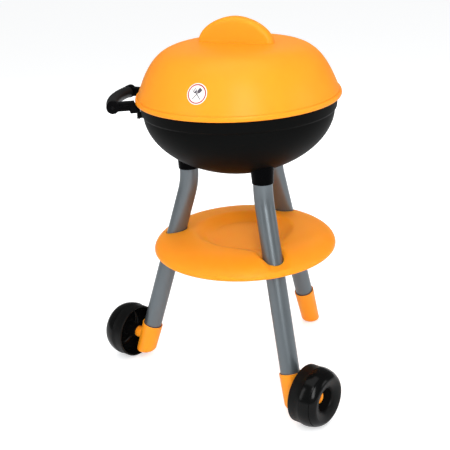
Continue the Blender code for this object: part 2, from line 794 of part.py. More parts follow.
def make_arm(side):
    """Handle arm: a channel-shaped bar, open outward, on a root block that sits on the bowl's lug."""
    azimuth = HANDLE_AZIMUTH + ARM_SIDES[side]
    low = LUG_TOP + SEAT_GAP
    bar_low, bar_top, root_top = arm_heights()
    inner_low, inner_top = band_outside(low) + SEAT_GAP, band_outside(root_top) + SEAT_GAP
    root_out = MOUTH_RADIUS + ROOT_LENGTH
    bend = ROOT_BEND
    knuckle = MOUTH_RADIUS + ARM_REACH
    meet = math.degrees(math.asin(ARM_HEIGHT / 2 / KNUCKLE_RADIUS))
    lid_clear = DOME_RADIUS + FLANGE_REACH + ARM_LID_GAP
    outline = [(inner_low, low), (root_out - bend, low), (root_out, low + bend)]
    outline += [(root_out, bar_low - bend), (root_out + bend, bar_low)]
    round_end = (knuckle, (bar_low + bar_top) / 2)
    outline += arc(round_end, (KNUCKLE_RADIUS, KNUCKLE_RADIUS), meet - 180, 180 - meet, KNUCKLE_STEPS)
    outline += [(lid_clear, bar_top), (lid_clear, root_top), (inner_top, root_top)]
    arm = flat_piece("handle_arm_" + side, outline, ARM_WIDTH, collection=PARTS)
    arm.rotation_euler = (QUARTER_TURN, 0.0, azimuth)

    outward = math.copysign(1.0, ARM_SIDES[side])
    near, far = sorted((outward * (ARM_WIDTH / 2 - ARM_RECESS_DEPTH), outward * (ARM_WIDTH / 2 + OVERRUN)))
    recess = block(
        "arm_recess_" + side,
        (root_out, near, bar_low + ARM_RIM),
        (knuckle - KNUCKLE_RADIUS, far, bar_top - ARM_RIM),
    )
    recess.rotation_euler.z = azimuth
    cut(arm, recess)
    cut(arm, KNUCKLE_BORES[side])
    cut(arm, SCREW_HOLES["grip_" + side])
    cut(arm, SCREW_HOLES["arm_" + side])
    return finish(arm, GLOSSY)


def knuckle_frame(side):
    """Centre of a knuckle and the way out along its axis, away from the other arm."""
    azimuth = HANDLE_AZIMUTH + ARM_SIDES[side]
    outward = math.copysign(1.0, ARM_SIDES[side])
    bar_low, bar_top, _ = arm_heights()
    centre = spot(MOUTH_RADIUS + ARM_REACH, azimuth, (bar_low + bar_top) / 2)
    return centre, Vector((-math.sin(azimuth), math.cos(azimuth), 0.0)) * outward


def make_grip():
    """Bowed bar between the knuckles, with a stub at each end that goes into the knuckle's bore."""
    first, second = (knuckle_frame(side)[0] for side in ARM_SIDES)
    half = (second - first).length / 2
    bend_radius = (half**2 + GRIP_BOW**2) / (2 * GRIP_BOW)
    middle = (first + second) / 2
    out = spot(1.0, HANDLE_AZIMUTH, 0.0)
    across = (second - first).normalized()
    centre = middle + out * (GRIP_BOW - bend_radius)
    swing = math.asin(half / bend_radius)
    points = []
    for step in range(-GRIP_STEPS, GRIP_STEPS + 1):
        turn = swing * step / GRIP_STEPS
        points.append(centre + bend_radius * (out * math.cos(turn) + across * math.sin(turn)))
    grip = bent_tube("handle_grip", points, GRIP_RADIUS, GRIP_SIDES, PARTS)
    for side in ARM_SIDES:
        place, way = knuckle_frame(side)
        reach = ARM_WIDTH / 2 + SEAT_GAP
        size = KNUCKLE_RADIUS + OVERRUN
        trim = block("grip_trim_" + side, (-size, -size, -reach), (size, size, reach + OVERRUN))
        cut(grip, aim(trim, place, way))
        stub_end = ARM_WIDTH / 2 - KNUCKLE_FLOOR - SEAT_GAP
        stub_root = place - way * (reach + OVERRUN)
        stub = rod("grip_stub_" + side, stub_root, place + way * stub_end, GRIP_STUB_RADIUS, GRIP_SIDES)
        join(grip, stub)
        cut(grip, SCREW_HOLES["grip_" + side])
    return finish(grip, GLOSSY)


def knuckle_bore(side):
    place, way = knuckle_frame(side)
    start = place - way * (ARM_WIDTH / 2 + OVERRUN)
    end = place + way * (ARM_WIDTH / 2 - KNUCKLE_FLOOR)
    return rod("knuckle_bore_" + side, start, end, GRIP_STUB_RADIUS + SEAT_GAP, GRIP_SIDES)


def screw_places():
    """For each screw: the seat under its head, the way into the material and its shank's length."""
    places = {}
    for leg, azimuth in LEG_AZIMUTHS.items():
        length = PAD_TOP - (LEG_TOP + SEAT_GAP + SCREW_COVER)
        places["socket_" + leg] = (spot(SOCKET_PLACE, azimuth, PAD_TOP), Vector((0.0, 0.0, -1.0)), length)
    for side, turn in ARM_SIDES.items():
        place, way = knuckle_frame(side)
        places["grip_" + side] = (place + way * (ARM_WIDTH / 2), -way, KNUCKLE_FLOOR + SCREW_BITE)
        seat = spot(MOUTH_RADIUS + LUG_REACH / 2, HANDLE_AZIMUTH + turn, LUG_TOP - LUG_HEIGHT)
        places["arm_" + side] = (seat, Vector((0.0, 0.0, 1.0)), LUG_HEIGHT + SCREW_BITE)
    return places


def screw_hole(key):
    seat, way, length = SCREW_PLACES[key]
    radius = SCREW_SHANK_RADIUS + SEAT_GAP
    return rod("hole_" + key, seat - way * OVERRUN, seat + way * (length + SEAT_GAP), radius, SMALL_STEPS)


def make_screw(key):
    """Pan-head screw with a plain shank."""
    seat, way, length = SCREW_PLACES[key]
    profile = [(0.0, SCREW_HEAD_HEIGHT)]
    profile += [(SCREW_HEAD_RADIUS * r, SCREW_HEAD_HEIGHT * h) for r, h in PAN_HEAD_SHARES]
    profile += [(SCREW_SHANK_RADIUS, 0.0), (SCREW_SHANK_RADIUS, -length), (0.0, -length)]
    group, which = key.split("_")
    screw = evaluated(turned(f"{group}_screw_{which}", profile, SMALL_STEPS, PARTS))
    aim(screw, seat - way * SEAT_GAP, -way)
    return finish(screw, STEEL)


def centre_origin(parts, root):
    """Moves the root so that the origin lies under the middle of the bounding box."""
    bpy.context.view_layer.update()
    graph = bpy.context.evaluated_depsgraph_get()
    corners = []
    for part in parts:
        shape = part.evaluated_get(graph)
        corners += [shape.matrix_world @ vertex.co for vertex in shape.data.vertices]
    for axis in range(2):
        places = [corner[axis] for corner in corners]
        root.location[axis] = -(min(places) + max(places)) / 2
    bpy.context.view_layer.update()


clear_scene()
PARTS = new_collection("toy_barbecue_grill")
CUTTERS = new_collection("cutters")
ORANGE_PLASTIC = new_material("orange_plastic", ORANGE, 0.45)
GREY_METAL = new_material("grey_tube", GREY, 0.4, 0.3)
MATTE = new_material("matte_black_plastic", MATTE_BLACK, 0.6)
GLOSSY = new_material("gloss_black_plastic", GLOSS_BLACK, 0.3)
STEEL = new_material("screw_steel", SCREW_METAL, 0.35, 1.0)
ARM_SIDES = {"near": ARM_TURN, "far": -ARM_TURN}
WHEEL_SIDES = {"right": 1.0, "left": -1.0}
SCREW_PLACES = screw_places()
SCREW_HOLES = {key: screw_hole(key) for key in SCREW_PLACES}
KNUCKLE_BORES = {side: knuckle_bore(side) for side in ARM_SIDES}
BOWL_ENVELOPE = turned(
    "bowl_envelope",
    [(0.0, MOUTH_HEIGHT), (BODY_RADIUS + SEAT_GAP, MOUTH_HEIGHT)] + bowl_shell(SEAT_GAP),
    ROUND_STEPS,
)

bowl_piece = make_bowl()
for hole_key, hole in SCREW_HOLES.items():
    if not hole_key.startswith("grip_"):
        cut(bowl_piece, hole)
make_lid()
make_grate()
make_shelf()
for leg_name in LEG_AZIMUTHS:
    make_socket(leg_name)
    make_leg(leg_name)
    make_cap(leg_name, WHEEL_CAP_LIFT if leg_name in WHEEL_SIDES else 0.0)
for leg_name in WHEEL_SIDES:
    make_wheel(leg_name)
for side_name in ARM_SIDES:
    make_arm(side_name)
make_grip()
for screw_key in SCREW_PLACES:
    make_screw(screw_key)

origin = bpy.data.objects.new("frame", None)
bpy.context.scene.collection.objects.link(origin)
for piece in list(PARTS.objects) + list(CUTTERS.objects):
    piece.parent = origin
centre_origin(PARTS.objects, origin)
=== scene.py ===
import math

import bmesh
import bpy
import numpy as np
from mathutils import Matrix, Vector


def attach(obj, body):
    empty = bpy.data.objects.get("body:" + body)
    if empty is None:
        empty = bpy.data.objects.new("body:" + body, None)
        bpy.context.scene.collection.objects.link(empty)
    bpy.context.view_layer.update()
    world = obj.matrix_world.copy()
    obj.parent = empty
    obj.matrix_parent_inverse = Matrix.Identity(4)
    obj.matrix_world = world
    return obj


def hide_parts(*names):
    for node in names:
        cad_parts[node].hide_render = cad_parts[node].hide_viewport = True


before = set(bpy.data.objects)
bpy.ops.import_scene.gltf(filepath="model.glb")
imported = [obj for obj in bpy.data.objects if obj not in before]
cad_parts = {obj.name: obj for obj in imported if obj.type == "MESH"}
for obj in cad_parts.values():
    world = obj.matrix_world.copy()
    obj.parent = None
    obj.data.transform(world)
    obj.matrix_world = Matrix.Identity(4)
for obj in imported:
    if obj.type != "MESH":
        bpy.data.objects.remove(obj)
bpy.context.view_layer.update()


def node_box(name):
    """Low and high corners of a node of the frame."""
    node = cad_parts[name]
    corners = np.array([node.matrix_world @ Vector(corner) for corner in node.bound_box])
    return corners.min(0), corners.max(0)


# The lid's axis in plan, and its foot on the ground
CENTRE = sum(node_box("lid"))[:2] / 2
AXIS_FOOT = (*CENTRE, 0.0)

# The finest distance that counts as the same point, the gap between fixed pieces, the least angle
# of an edge that stays sharp, and the steps of a broad turned form. All lengths are in metres
WELD = 1e-6
GAP = 0.0003
SHARP = math.radians(32)
TURN_STEPS = 144

# How a grid of points closes: (its rows, its columns, its end rows filled)
SHEET = (False, False, False)
TUBE = (False, True, False)
RING = (True, True, False)
BLOCK = (False, True, True)

# Bowl
MOUTH_HEIGHT = 0.5411
MOUTH_RADIUS = 0.1755
BAND_BASE = 0.5146
BAND_RADIUS = 0.1728
BODY_RADIUS = 0.1693
BODY_TOP = 0.5115
BODY_DEPTH = 0.1101
BODY_POWER = 1.9
BOWL_WALL = 0.0030
LEDGE_HEIGHT = 0.5155
PAD_TOP = 0.42937
PAD_RADIUS = 0.0095
PAD_SINK = 0.0040

# Lid
LID_SEAT = 0.5414
LID_BASE = 0.5347
LID_WALL = 0.0035
DOME_RADIUS = 0.1776
DOME_BASE = 0.5437
DOME_HEIGHT = 0.0850
DOME_SIDE_POWER = 6.5
DOME_TOP_POWER = 0.9
FIRST_CIRCLE = 0.66

# Line of the lid's flange as (beyond the dome's side, above the dome's base), then above the lid's base
FLANGE_REACH = 0.0039
FLANGE_UPPER = ((-0.0003, -0.0006), (0.0020, 0.0002), (0.0035, -0.0026))
FLANGE_LOWER = ((FLANGE_REACH, 0.0018), (0.0027, 0.0))
FLANGE_ROUNDINGS = (0.0, 0.0003, 0.0009, 0.0022, 0.0014, 0.0010, 0.0005, 0.0003, 0.0008, 0.0)

# Half-moon fin on the lid
FIN_LENGTH = 0.1390
FIN_HEIGHT = 0.0443
FIN_THICKNESS = 0.0220
FIN_POWER = 1.8
FIN_CROWDING = 1.35
FIN_EDGE = 0.0080
FIN_FLARE = 0.0003
FIN_WALL = 0.0030
FIN_TURN = math.radians(15)
FIN_END_TURN = math.radians(26)

# Sticker on the lid
STICKER_AZIMUTH = math.radians(285)
STICKER_HEIGHT = 0.5762
STICKER_RADIUS = 0.0175
STICKER_BACK = 0.00002
STICKER_FILM = 0.00020
STICKER_INK = 0.00006
STICKER_RING = (0.80, 0.91)

# Its printed tools as spans of (from, to, width, end width, stations), the first two in sticker radii
TOOL_HANDLE = ((-0.62, 0.10, 0.0013, 0.0013, 8),)
TURNER_BLADE = ((0.10, 0.25, 0.0014, 0.0056, 4), (0.28, 0.62, 0.0058, 0.0064, 8))
FORK_COLLAR = ((0.10, 0.22, 0.0014, 0.0062, 4), (0.24, 0.30, 0.0062, 0.0062, 3))
FORK_TINE = ((0.28, 0.62, 0.0012, 0.0010, 8),)
TINE_PLACES = (-0.0025, 0.0, 0.0025)
TOOL_LEAN = math.radians(38)

# Grate
GRATE_PLAY = 0.0010
GRATE_RING = 0.0045
GRATE_BASE = 0.5158
GRATE_TOP = 0.5208
GRATE_BAR = 0.0040
GRATE_PITCH = 0.0240
GRATE_BARS_ASIDE = 6
GRATE_SPINE = 0.0028
GRATE_EDGE = 0.0009

# Legs and their sockets
LEG_RADIUS = 0.0172
LEG_WALL = 0.0012
LEG_TOP = 0.41277
LEG_BEND = 0.1400
LEG_END = 0.0300
SOCKET_PLACE = 0.0975
SOCKET_BASE = 0.40217
SOCKET_RADIUS = 0.0203
SOCKET_LOW_RADIUS = 0.0190
SOCKET_LIP = 0.0050
BEND_TOP = SOCKET_BASE - 0.0045
SPREADS = {"right": 0.2159, "left": 0.2159, "plain": 0.2135}
AZIMUTHS = {"right": math.radians(-30), "left": math.radians(210), "plain": math.radians(90)}

# Foot caps, with the steps inside their mouth as (beyond the leg's radius, below the mouth)
CAP_RADIUS = 0.0199
CAP_FOOT_RADIUS = 0.0179
CAP_TOP = 0.0775
CAP_EDGE = 0.0062
CAP_BORE_START = 0.0064
CAP_MOUTH_STEPS = ((0.0012, 0.0054), (0.0014, 0.0004), (0.0016, 0.0))
CAP_LIP = (0.0005, 0.0006)
CAP_STEPS = 72
WHEEL_CAP_LIFT = 0.0175

# Shelf
SHELF_RADIUS = 0.1688
SHELF_BASE = 0.2510
SHELF_TOP = 0.2830
SHELF_SHOULDER = 0.0788
SHELF_WAIST = 0.2545
SHELF_LOWER_EDGE = 0.0045
HOLE_PLAY = 0.0017
DISH_DEPTH = 0.0140
DISH_RADIUS = 0.0940
DISH_SLOPE = 0.0300
DISH_VALLEY = 0.0344
DISH_VALLEY_POWER = 28
GULLY_WIDTHS = (0.0140, 0.0250)
GULLY_DEPTH = 0.0118
GULLY_START = 0.1370
GULLY_FALL = 0.275

# Wheels
WHEEL_RADIUS = 0.0528
WHEEL_WIDTH = 0.0510
WHEEL_WALL = 0.0030
WHEEL_FORWARD = sum(node_box("wheel_right"))[1] / 2
WHEEL_INNER = node_box("wheel_right")[0][0]
WHEEL_SIDES = {"right": 1.0, "left": -1.0}
TREAD_WIDTH = 0.0200
TREAD_DROP = 0.0012
SHOULDER_START = TREAD_WIDTH + 0.0029
TREAD_RAMP = (TREAD_WIDTH - 0.0042, SHOULDER_START - 0.0004)
CROWN_RADIUS = 0.0380
CROWN_POWER = 1.8
FACE_POWER = 1.5
FUNNEL_RADIUS = 0.0208
FUNNEL_LIP = 0.0085
FUNNEL_DEPTH = 0.0222
FUNNEL_FOOT = 0.0155
FUNNEL_BACK = 0.0165
HUB_RADIUS = 0.0135
HUB_BORE = 0.0093

# Axles on two of the caps
AXLE_RADIUS = 0.0090
AXLE_COLLAR = 0.0110
SNAP_RADIUS = 0.0118
SNAP_CREST = 0.0014
SNAP_LENGTH = 0.0052
SLIT_WIDTH = 0.0026
SLIT_REACH = 0.02
SLIT_DEPTH = 0.0148

# Handle
HANDLE_AZIMUTH = math.radians(210)
ARM_TURNS = {"near": math.radians(15.6), "far": -math.radians(15.6)}
LUG_TOP = 0.5180
LUG_HEIGHT = 0.0090
LUG_REACH = 0.0045
LUG_EDGE = 0.0010
ARM_LOW = LUG_TOP + GAP
ARM_WIDTH = 0.0120
ARM_REACH = 0.0451
ARM_EASE = 0.0008
ARM_EDGE = 0.0009
BAR_LOW = ARM_LOW + 0.0050
BAR_TOP = BAR_LOW + 0.0157
ROOT_TOP = ARM_LOW + 0.0138
ROOT_REACH = MOUTH_RADIUS + 0.0156
LID_CLEAR = DOME_RADIUS + FLANGE_REACH + 0.0012
CHANNEL_LEVELS = ((BAR_LOW + 0.0018, BAR_LOW + 0.0060), (BAR_LOW + 0.0078, BAR_TOP - 0.0018))
CHANNEL_DEPTH = 0.0050
CHANNEL_EDGE = 0.0006
CHANNEL_PAST_BAR = 0.004
CHANNEL_PAST_KNUCKLE = 0.0012
KNUCKLE_RADIUS = 0.0115
KNUCKLE_BORE = 0.0065
KNUCKLE_WEB = 0.003
SCREW_BORE = 0.0017
GRIP_RADIUS = 0.0106
GRIP_BOW = 0.0118
GRIP_EASE = 0.0006
STUB_RADIUS = 0.0062
STUB_LENGTH = 0.0085

# Lengths of the round tools that cut the shelf's holes, the caps' bores and the knuckles' bores
HOLE_CUT = 0.07
CAP_CUT = 0.06
KNUCKLE_CUT = 0.02


# Meshes from numpy grids


def grid_faces(rows, columns, close_rows, close_columns):
    """Quads of a grid of points.

    Each quad joins a point, the next in its column, the one across and the next in its row.
    """
    row = np.arange(rows if close_rows else rows - 1)
    column = np.arange(columns if close_columns else columns - 1)
    i, j = np.meshgrid(row, column, indexing="ij")
    below, beside = (i + 1) % rows, (j + 1) % columns
    corners = [i * columns + j, below * columns + j, below * columns + beside, i * columns + beside]
    return np.stack(corners, -1).reshape(-1, 4)


def welded(mesh, face_outwards):
    """A mesh with its doubled points joined and, where asked, its faces turned outwards."""
    shape = bmesh.new()
    shape.from_mesh(mesh)
    bmesh.ops.remove_doubles(shape, verts=shape.verts, dist=WELD)
    if face_outwards:
        bmesh.ops.recalc_face_normals(shape, faces=shape.faces)
    shape.to_mesh(mesh)
    shape.free()
    return mesh


def mesh_of(name, patches):
    """One welded mesh with outward faces from patches of (grid, rows close, columns close, ends filled)."""
    points, faces, start = [], [], 0
    for grid, close_rows, close_columns, fill_ends in patches:
        rows, columns = grid.shape[:2]
        points.append(grid.reshape(-1, 3))
        faces += (grid_faces(rows, columns, close_rows, close_columns) + start).tolist()
        if fill_ends:
            first = np.arange(columns) + start
            faces += [first.tolist(), (first + (rows - 1) * columns).tolist()]
        start += rows * columns
    mesh = bpy.data.meshes.new(name)
    mesh.from_pydata(np.concatenate(points).tolist(), [], faces)
    return welded(mesh, True)


def linked(name, data):
    """An object in the scene that holds a mesh, a lamp or a camera."""
    made = bpy.data.objects.new(name, data)
    bpy.context.scene.collection.objects.link(made)
    return made


def object_of(name, *patches):
    """An object with one mesh of the patches."""
    return linked(name, mesh_of(name, patches))


def combined(piece, tools, operation):
    """Joins each tool to a piece, or cuts it from the piece, and removes the tools."""
    for tool in tools:
        step = piece.modifiers.new(tool.name, "BOOLEAN")
        step.object = tool
        step.operation = operation
        step.solver = "EXACT"
    bpy.context.view_layer.update()
    graph = bpy.context.evaluated_depsgraph_get()
    mesh = bpy.data.meshes.new_from_object(piece.evaluated_get(graph))
    piece.modifiers.clear()
    piece.data = welded(mesh, False)
    for tool in tools:
        bpy.data.objects.remove(tool)


def fitted(piece, material, body, slot, *nodes):
    """Gives a piece its material, smooth shading with sharp edges and its body, and hides the nodes it stands
    for.

    The slot is not used.
    """
    piece.data.materials.clear()
    piece.data.materials.append(material)
    piece.data.shade_smooth()
    piece.data.set_sharp_from_angle(angle=SHARP)
    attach(piece, body)
    if nodes:
        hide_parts(*nodes)


def eased(corners, radii, steps=6, closed=False):
    """A line of corners with each corner rounded.

    A corner C with a point back A and a point ahead B, both its radius away but short of half the
    nearer side, becomes the curve (1-t)^2 A + 2t(1-t) C + t^2 B.
    """
    corners = np.asarray(corners, float)
    radii = np.broadcast_to(np.asarray(radii, float), len(corners)).copy()
    if not closed:
        radii[[0, -1]] = 0.0
    back = np.roll(corners, 1, 0) - corners
    ahead = np.roll(corners, -1, 0) - corners
    back_length = np.maximum(np.linalg.norm(back, axis=1), WELD)
    ahead_length = np.maximum(np.linalg.norm(ahead, axis=1), WELD)
    reach = np.minimum(radii, 0.49 * np.minimum(back_length, ahead_length))[:, None]
    start = corners + back / back_length[:, None] * reach
    end = corners + ahead / ahead_length[:, None] * reach
    t = np.linspace(0.0, 1.0, steps)[None, :, None]
    curve = (1 - t) ** 2 * start[:, None] + 2 * t * (1 - t) * corners[:, None] + t**2 * end[:, None]
    line = curve.reshape(-1, 2)
    keep = np.r_[True, np.linalg.norm(np.diff(line, axis=0), axis=1) > WELD]
    return line[keep]


def smooth(share):
    """A share from nought to one with a level start and end: 3t^2 - 2t^3."""
    return share * share * (3 - 2 * share)


def full_turn(steps):
    """Even angles once round."""
    return np.linspace(0.0, 2 * math.pi, steps, endpoint=False)


def turned(profile, steps=TURN_STEPS, angle=None):
    """A profile of (radius, height) rows turned about the upright axis: x = r cos a, y = r sin a, z = h.

    The angles go evenly once round, unless others are given.
    """
    profile = np.asarray(profile, float)
    angle = full_turn(steps) if angle is None else angle
    radius, height = profile[:, :1], profile[:, 1:]
    return np.stack([radius * np.cos(angle), radius * np.sin(angle), height + 0 * angle], -1)


def plug(radius, low, high):
    """Profile of a plain round bar between two heights, from its top to its foot."""
    return [(0.0, high), (radius, high), (radius, low), (0.0, low)]


def moved(grid, place):
    """A grid moved by a vector."""
    return grid + np.asarray(place, float)


def along(grid, place, direction):
    """A grid made about Z, with Z carried onto a direction and its origin onto a place."""
    direction = Vector(direction).normalized()
    turn = np.array(direction.to_track_quat("Z", "Y").to_matrix())
    return grid @ turn.T + np.asarray(place, float)


def turned_object(name, profile, steps, place, way=None):
    """A turned solid at a place, upright or with its axis along a way."""
    solid = turned(profile, steps)
    return object_of(name, (moved(solid, place) if way is None else along(solid, place, way), *TUBE))


def spun(x, y, z, turn):
    """Points turned about the upright axis: (x cos a - y sin a, x sin a + y cos a, z)."""
    cosine, sine = math.cos(turn), math.sin(turn)
    return np.stack([x * cosine - y * sine, x * sine + y * cosine, z], -1)


def swept(path, section, flat_normal):
    """A closed section of (side, rise) carried along a path that lies in one plane.

    Point = path + side * plane's normal + rise * (normal x tangent).
    """
    path = np.asarray(path, float)
    tangent = np.gradient(path, axis=0)
    tangent /= np.linalg.norm(tangent, axis=1, keepdims=True)
    normal = np.asarray(flat_normal, float)
    rise = np.cross(normal, tangent)
    return path[:, None] + section[None, :, :1] * normal + section[None, :, 1:] * rise[:, None]


def round_section(radius, steps):
    """A circle as (side, rise) points."""
    angle = full_turn(steps)
    return np.stack([radius * np.cos(angle), radius * np.sin(angle)], -1)


def spot(radius, azimuth, height):
    """Points at a radius and an azimuth from the lid's axis, at a height."""
    x, y = CENTRE[0] + radius * np.cos(azimuth), CENTRE[1] + radius * np.sin(azimuth)
    return np.stack(np.broadcast_arrays(x, y, height), -1)


def sideways(azimuth):
    """The level way that is square to an azimuth."""
    return np.array([-math.sin(azimuth), math.cos(azimuth), 0.0])


def box_patch(low, high, edge, steps=4):
    """A block with rounded edges all round.

    It is a rounded outline in x and y at rings of heights. Within the edge e of its top and base a
    ring at e (1 - cos b) is inset by e (1 - sin b).
    """
    low, high = np.asarray(low, float), np.asarray(high, float)
    corners = np.array([[low[0], low[1]], [high[0], low[1]], [high[0], high[1]], [low[0], high[1]]])
    middle = corners.mean(0)
    angle = np.linspace(0.0, math.pi / 2, steps)
    rise, ease = edge * (1 - np.cos(angle)), edge * (1 - np.sin(angle))
    heights = np.r_[np.sort(low[2] + rise), np.sort(high[2] - rise)]
    rings = []
    for height, inset in zip(heights, np.r_[ease, ease[::-1]]):
        outline = eased(corners - np.sign(corners - middle) * inset, 2 * edge, steps + 2, closed=True)
        rings.append(np.c_[outline, np.full(len(outline), height)])
    return np.array(rings)


# Lid with its fin


def dome_height(radius, reach, rise):
    """Height of the dome at a radius: base + H (1 - (r / R)^side power)^(1 / top power)."""
    share = np.clip(np.asarray(radius) / reach, 0.0, 1.0) ** DOME_SIDE_POWER
    return DOME_BASE + rise * (1 - share) ** (1 / DOME_TOP_POWER)


def dome_rows(reach, rise, first, steps):
    """The dome's profile from a radius out to its base, with even steps of angle.

    Each row is (R cos^(2 / side power) a, base + H sin^(2 / top power) a).
    """
    angle = np.linspace(math.acos((first / reach) ** (DOME_SIDE_POWER / 2)), 0.0, steps)
    radius = reach * np.cos(angle) ** (2 / DOME_SIDE_POWER)
    return np.stack([radius, DOME_BASE + rise * np.sin(angle) ** (2 / DOME_TOP_POWER)], -1)


def fin_patch(half_length, height, half_width, edge, flare, reach, rise):
    """Half-moon fin on a dome, as a grid of points, and the loop where it meets the dome.

    Its outline is the superellipse x = L cos^(2/p) a, z = H sin^(2/p) a, with stations that crowd towards
    both ends. Each station has a section: up one wall, round an edge, across the top, round the other edge
    and down. Within the flare's height of the dome each point moves outwards by
    f (1 - sqrt(1 - (1 - z/f)^2)), which makes a round fillet. Last, the dome's own height is added.
    """
    stations, walls, corners, strips = 72, 16, 7, 7
    share = np.linspace(-1.0, 1.0, stations)
    angle = math.pi / 2 * (1 + np.sign(share) * (1 - (1 - np.abs(share)) ** FIN_CROWDING))
    cosine, sine = np.cos(angle), np.clip(np.sin(angle), 0.0, 1.0)
    sine[[0, -1]] = 0.0
    x = half_length * np.sign(cosine) * np.abs(cosine) ** (2 / FIN_POWER)
    z = height * sine ** (2 / FIN_POWER)
    slope_x = np.sign(x) * (np.abs(x) / half_length) ** (FIN_POWER - 1) / half_length
    slope_z = (z / height) ** (FIN_POWER - 1) / height
    size = np.hypot(slope_x, slope_z)
    normal_x, normal_z = slope_x / size, slope_z / size

    corner = np.linspace(-math.pi / 2, 0.0, corners)
    level = np.linspace(0.0, 1.0, walls)[:-1] ** 2
    flat_half = half_width - edge
    across = np.linspace(-1.0, 1.0, strips)[1:-1] * flat_half
    turn = np.r_[corner, np.zeros(len(across)), -corner[::-1]]
    inset = edge * (1 - np.cos(turn))
    inset[corners:-corners] = 0.0
    side = np.r_[-flat_half + edge * np.sin(corner), across, flat_half + edge * np.sin(-corner[::-1])]
    top_x = x[:, None] - normal_x[:, None] * inset
    top_z = np.maximum(z[:, None] - normal_z[:, None] * inset, 0.0)
    top_y = np.broadcast_to(side, top_x.shape)
    out_x = normal_x[:, None] * np.cos(turn) + 0 * top_x
    out_y = np.sin(turn) + 0 * top_x

    wall_z = top_z[:, :1] * level
    wall_x = np.repeat(top_x[:, :1], len(level), 1)
    wall_y = np.full_like(wall_x, half_width)
    flat = np.zeros_like(wall_x)
    grid_x = np.concatenate([wall_x, top_x, wall_x[:, ::-1]], 1)
    grid_y = np.concatenate([-wall_y, top_y, wall_y], 1)
    grid_z = np.concatenate([wall_z, top_z, wall_z[:, ::-1]], 1)
    way_x = np.concatenate([flat, out_x, flat], 1)
    way_y = np.concatenate([flat - 1, out_y, flat + 1], 1)
    way = np.maximum(np.hypot(way_x, way_y), WELD)
    near = np.clip(1 - grid_z / flare, 0.0, 1.0)
    spread = flare * (1 - np.sqrt(1 - near**2))
    grid_x = grid_x + way_x / way * spread
    grid_y = grid_y + way_y / way * spread
    grid_z = grid_z + dome_height(np.hypot(grid_x, grid_y), reach, rise)
    grid = spun(grid_x, grid_y, grid_z, FIN_TURN)

    ends = slice(len(level), grid.shape[1] - len(level))
    loop = np.concatenate([grid[:-1, 0], grid[-1, ends][:-1], grid[:0:-1, -1], grid[0, ends][:0:-1]])
    return grid, loop, (len(grid), ends.stop - ends.start)


def ring_angles(stations, ends):
    """Angles of the lid's rings, one for each point of the fin's loop.

    The fin's two long sides take most of the turn and its two ends the rest.
    """
    end = FIN_END_TURN
    marks = [0.0 - end, -math.pi + end, -math.pi - end, -2 * math.pi + end, -2 * math.pi - end]
    counts = [stations, ends, stations, ends]
    parts = [np.linspace(marks[i], marks[i + 1], counts[i])[:-1] for i in range(4)]
    return FIN_TURN + np.concatenate(parts)


def make_lid(material):
    """Dome, rolled flange and fin as one closed shell. Its rings start on the fin's loop and end round."""
    fin, loop, (stations, ends) = fin_patch(
        FIN_LENGTH / 2, FIN_HEIGHT, FIN_THICKNESS / 2, FIN_EDGE, FIN_FLARE, DOME_RADIUS, DOME_HEIGHT
    )
    inner_reach, inner_rise = DOME_RADIUS - LID_WALL, DOME_HEIGHT - LID_WALL
    hollow, inner_loop, _ = fin_patch(
        FIN_LENGTH / 2 - FIN_WALL,
        FIN_HEIGHT + LID_WALL - FIN_WALL,
        FIN_THICKNESS / 2 - FIN_WALL,
        FIN_EDGE - FIN_WALL,
        FIN_FLARE / 2,
        inner_reach,
        inner_rise,
    )
    angle = ring_angles(stations, ends)
    first = FIRST_CIRCLE * DOME_RADIUS

    def spread_rows(start, reach, rise, rows=22):
        """Rows from the fin's loop out to the first circle, (1-w) loop + w circle, at the dome's height."""
        weight = np.linspace(0.0, 1.0, rows)[:, None]
        x = (1 - weight) * start[:, 0] + weight * first * np.cos(angle)
        y = (1 - weight) * start[:, 1] + weight * first * np.sin(angle)
        return np.stack([x, y, dome_height(np.hypot(x, y), reach, rise)], -1)

    outer = dome_rows(DOME_RADIUS, DOME_HEIGHT, first, 34)[1:-1]
    inner = dome_rows(inner_reach, inner_rise, first, 24)[::-1]
    flange = [(DOME_RADIUS + out, DOME_BASE + up) for out, up in FLANGE_UPPER]
    flange += [(DOME_RADIUS + out, LID_BASE + up) for out, up in FLANGE_LOWER]
    skirt = [(DOME_RADIUS, LID_BASE), (DOME_RADIUS, LID_SEAT), (inner_reach, LID_SEAT)]
    crease = eased([outer[-1], *flange, *skirt, (inner_reach, DOME_BASE)], FLANGE_ROUNDINGS, 7)
    profile = np.concatenate([outer, crease[1:-1], inner[:-1]])
    outside = spread_rows(loop, DOME_RADIUS, DOME_HEIGHT)
    inside = spread_rows(inner_loop, inner_reach, inner_rise)[::-1]
    lid = object_of(
        "domed_lid",
        (moved(fin, AXIS_FOOT), *SHEET),
        (moved(np.concatenate([outside, turned(profile, angle=angle), inside]), AXIS_FOOT), *TUBE),
        (moved(hollow, AXIS_FOOT), *SHEET),
    )
    fitted(lid, material, "lid", "lid_plastic", "lid")


# Round sticker on the lid


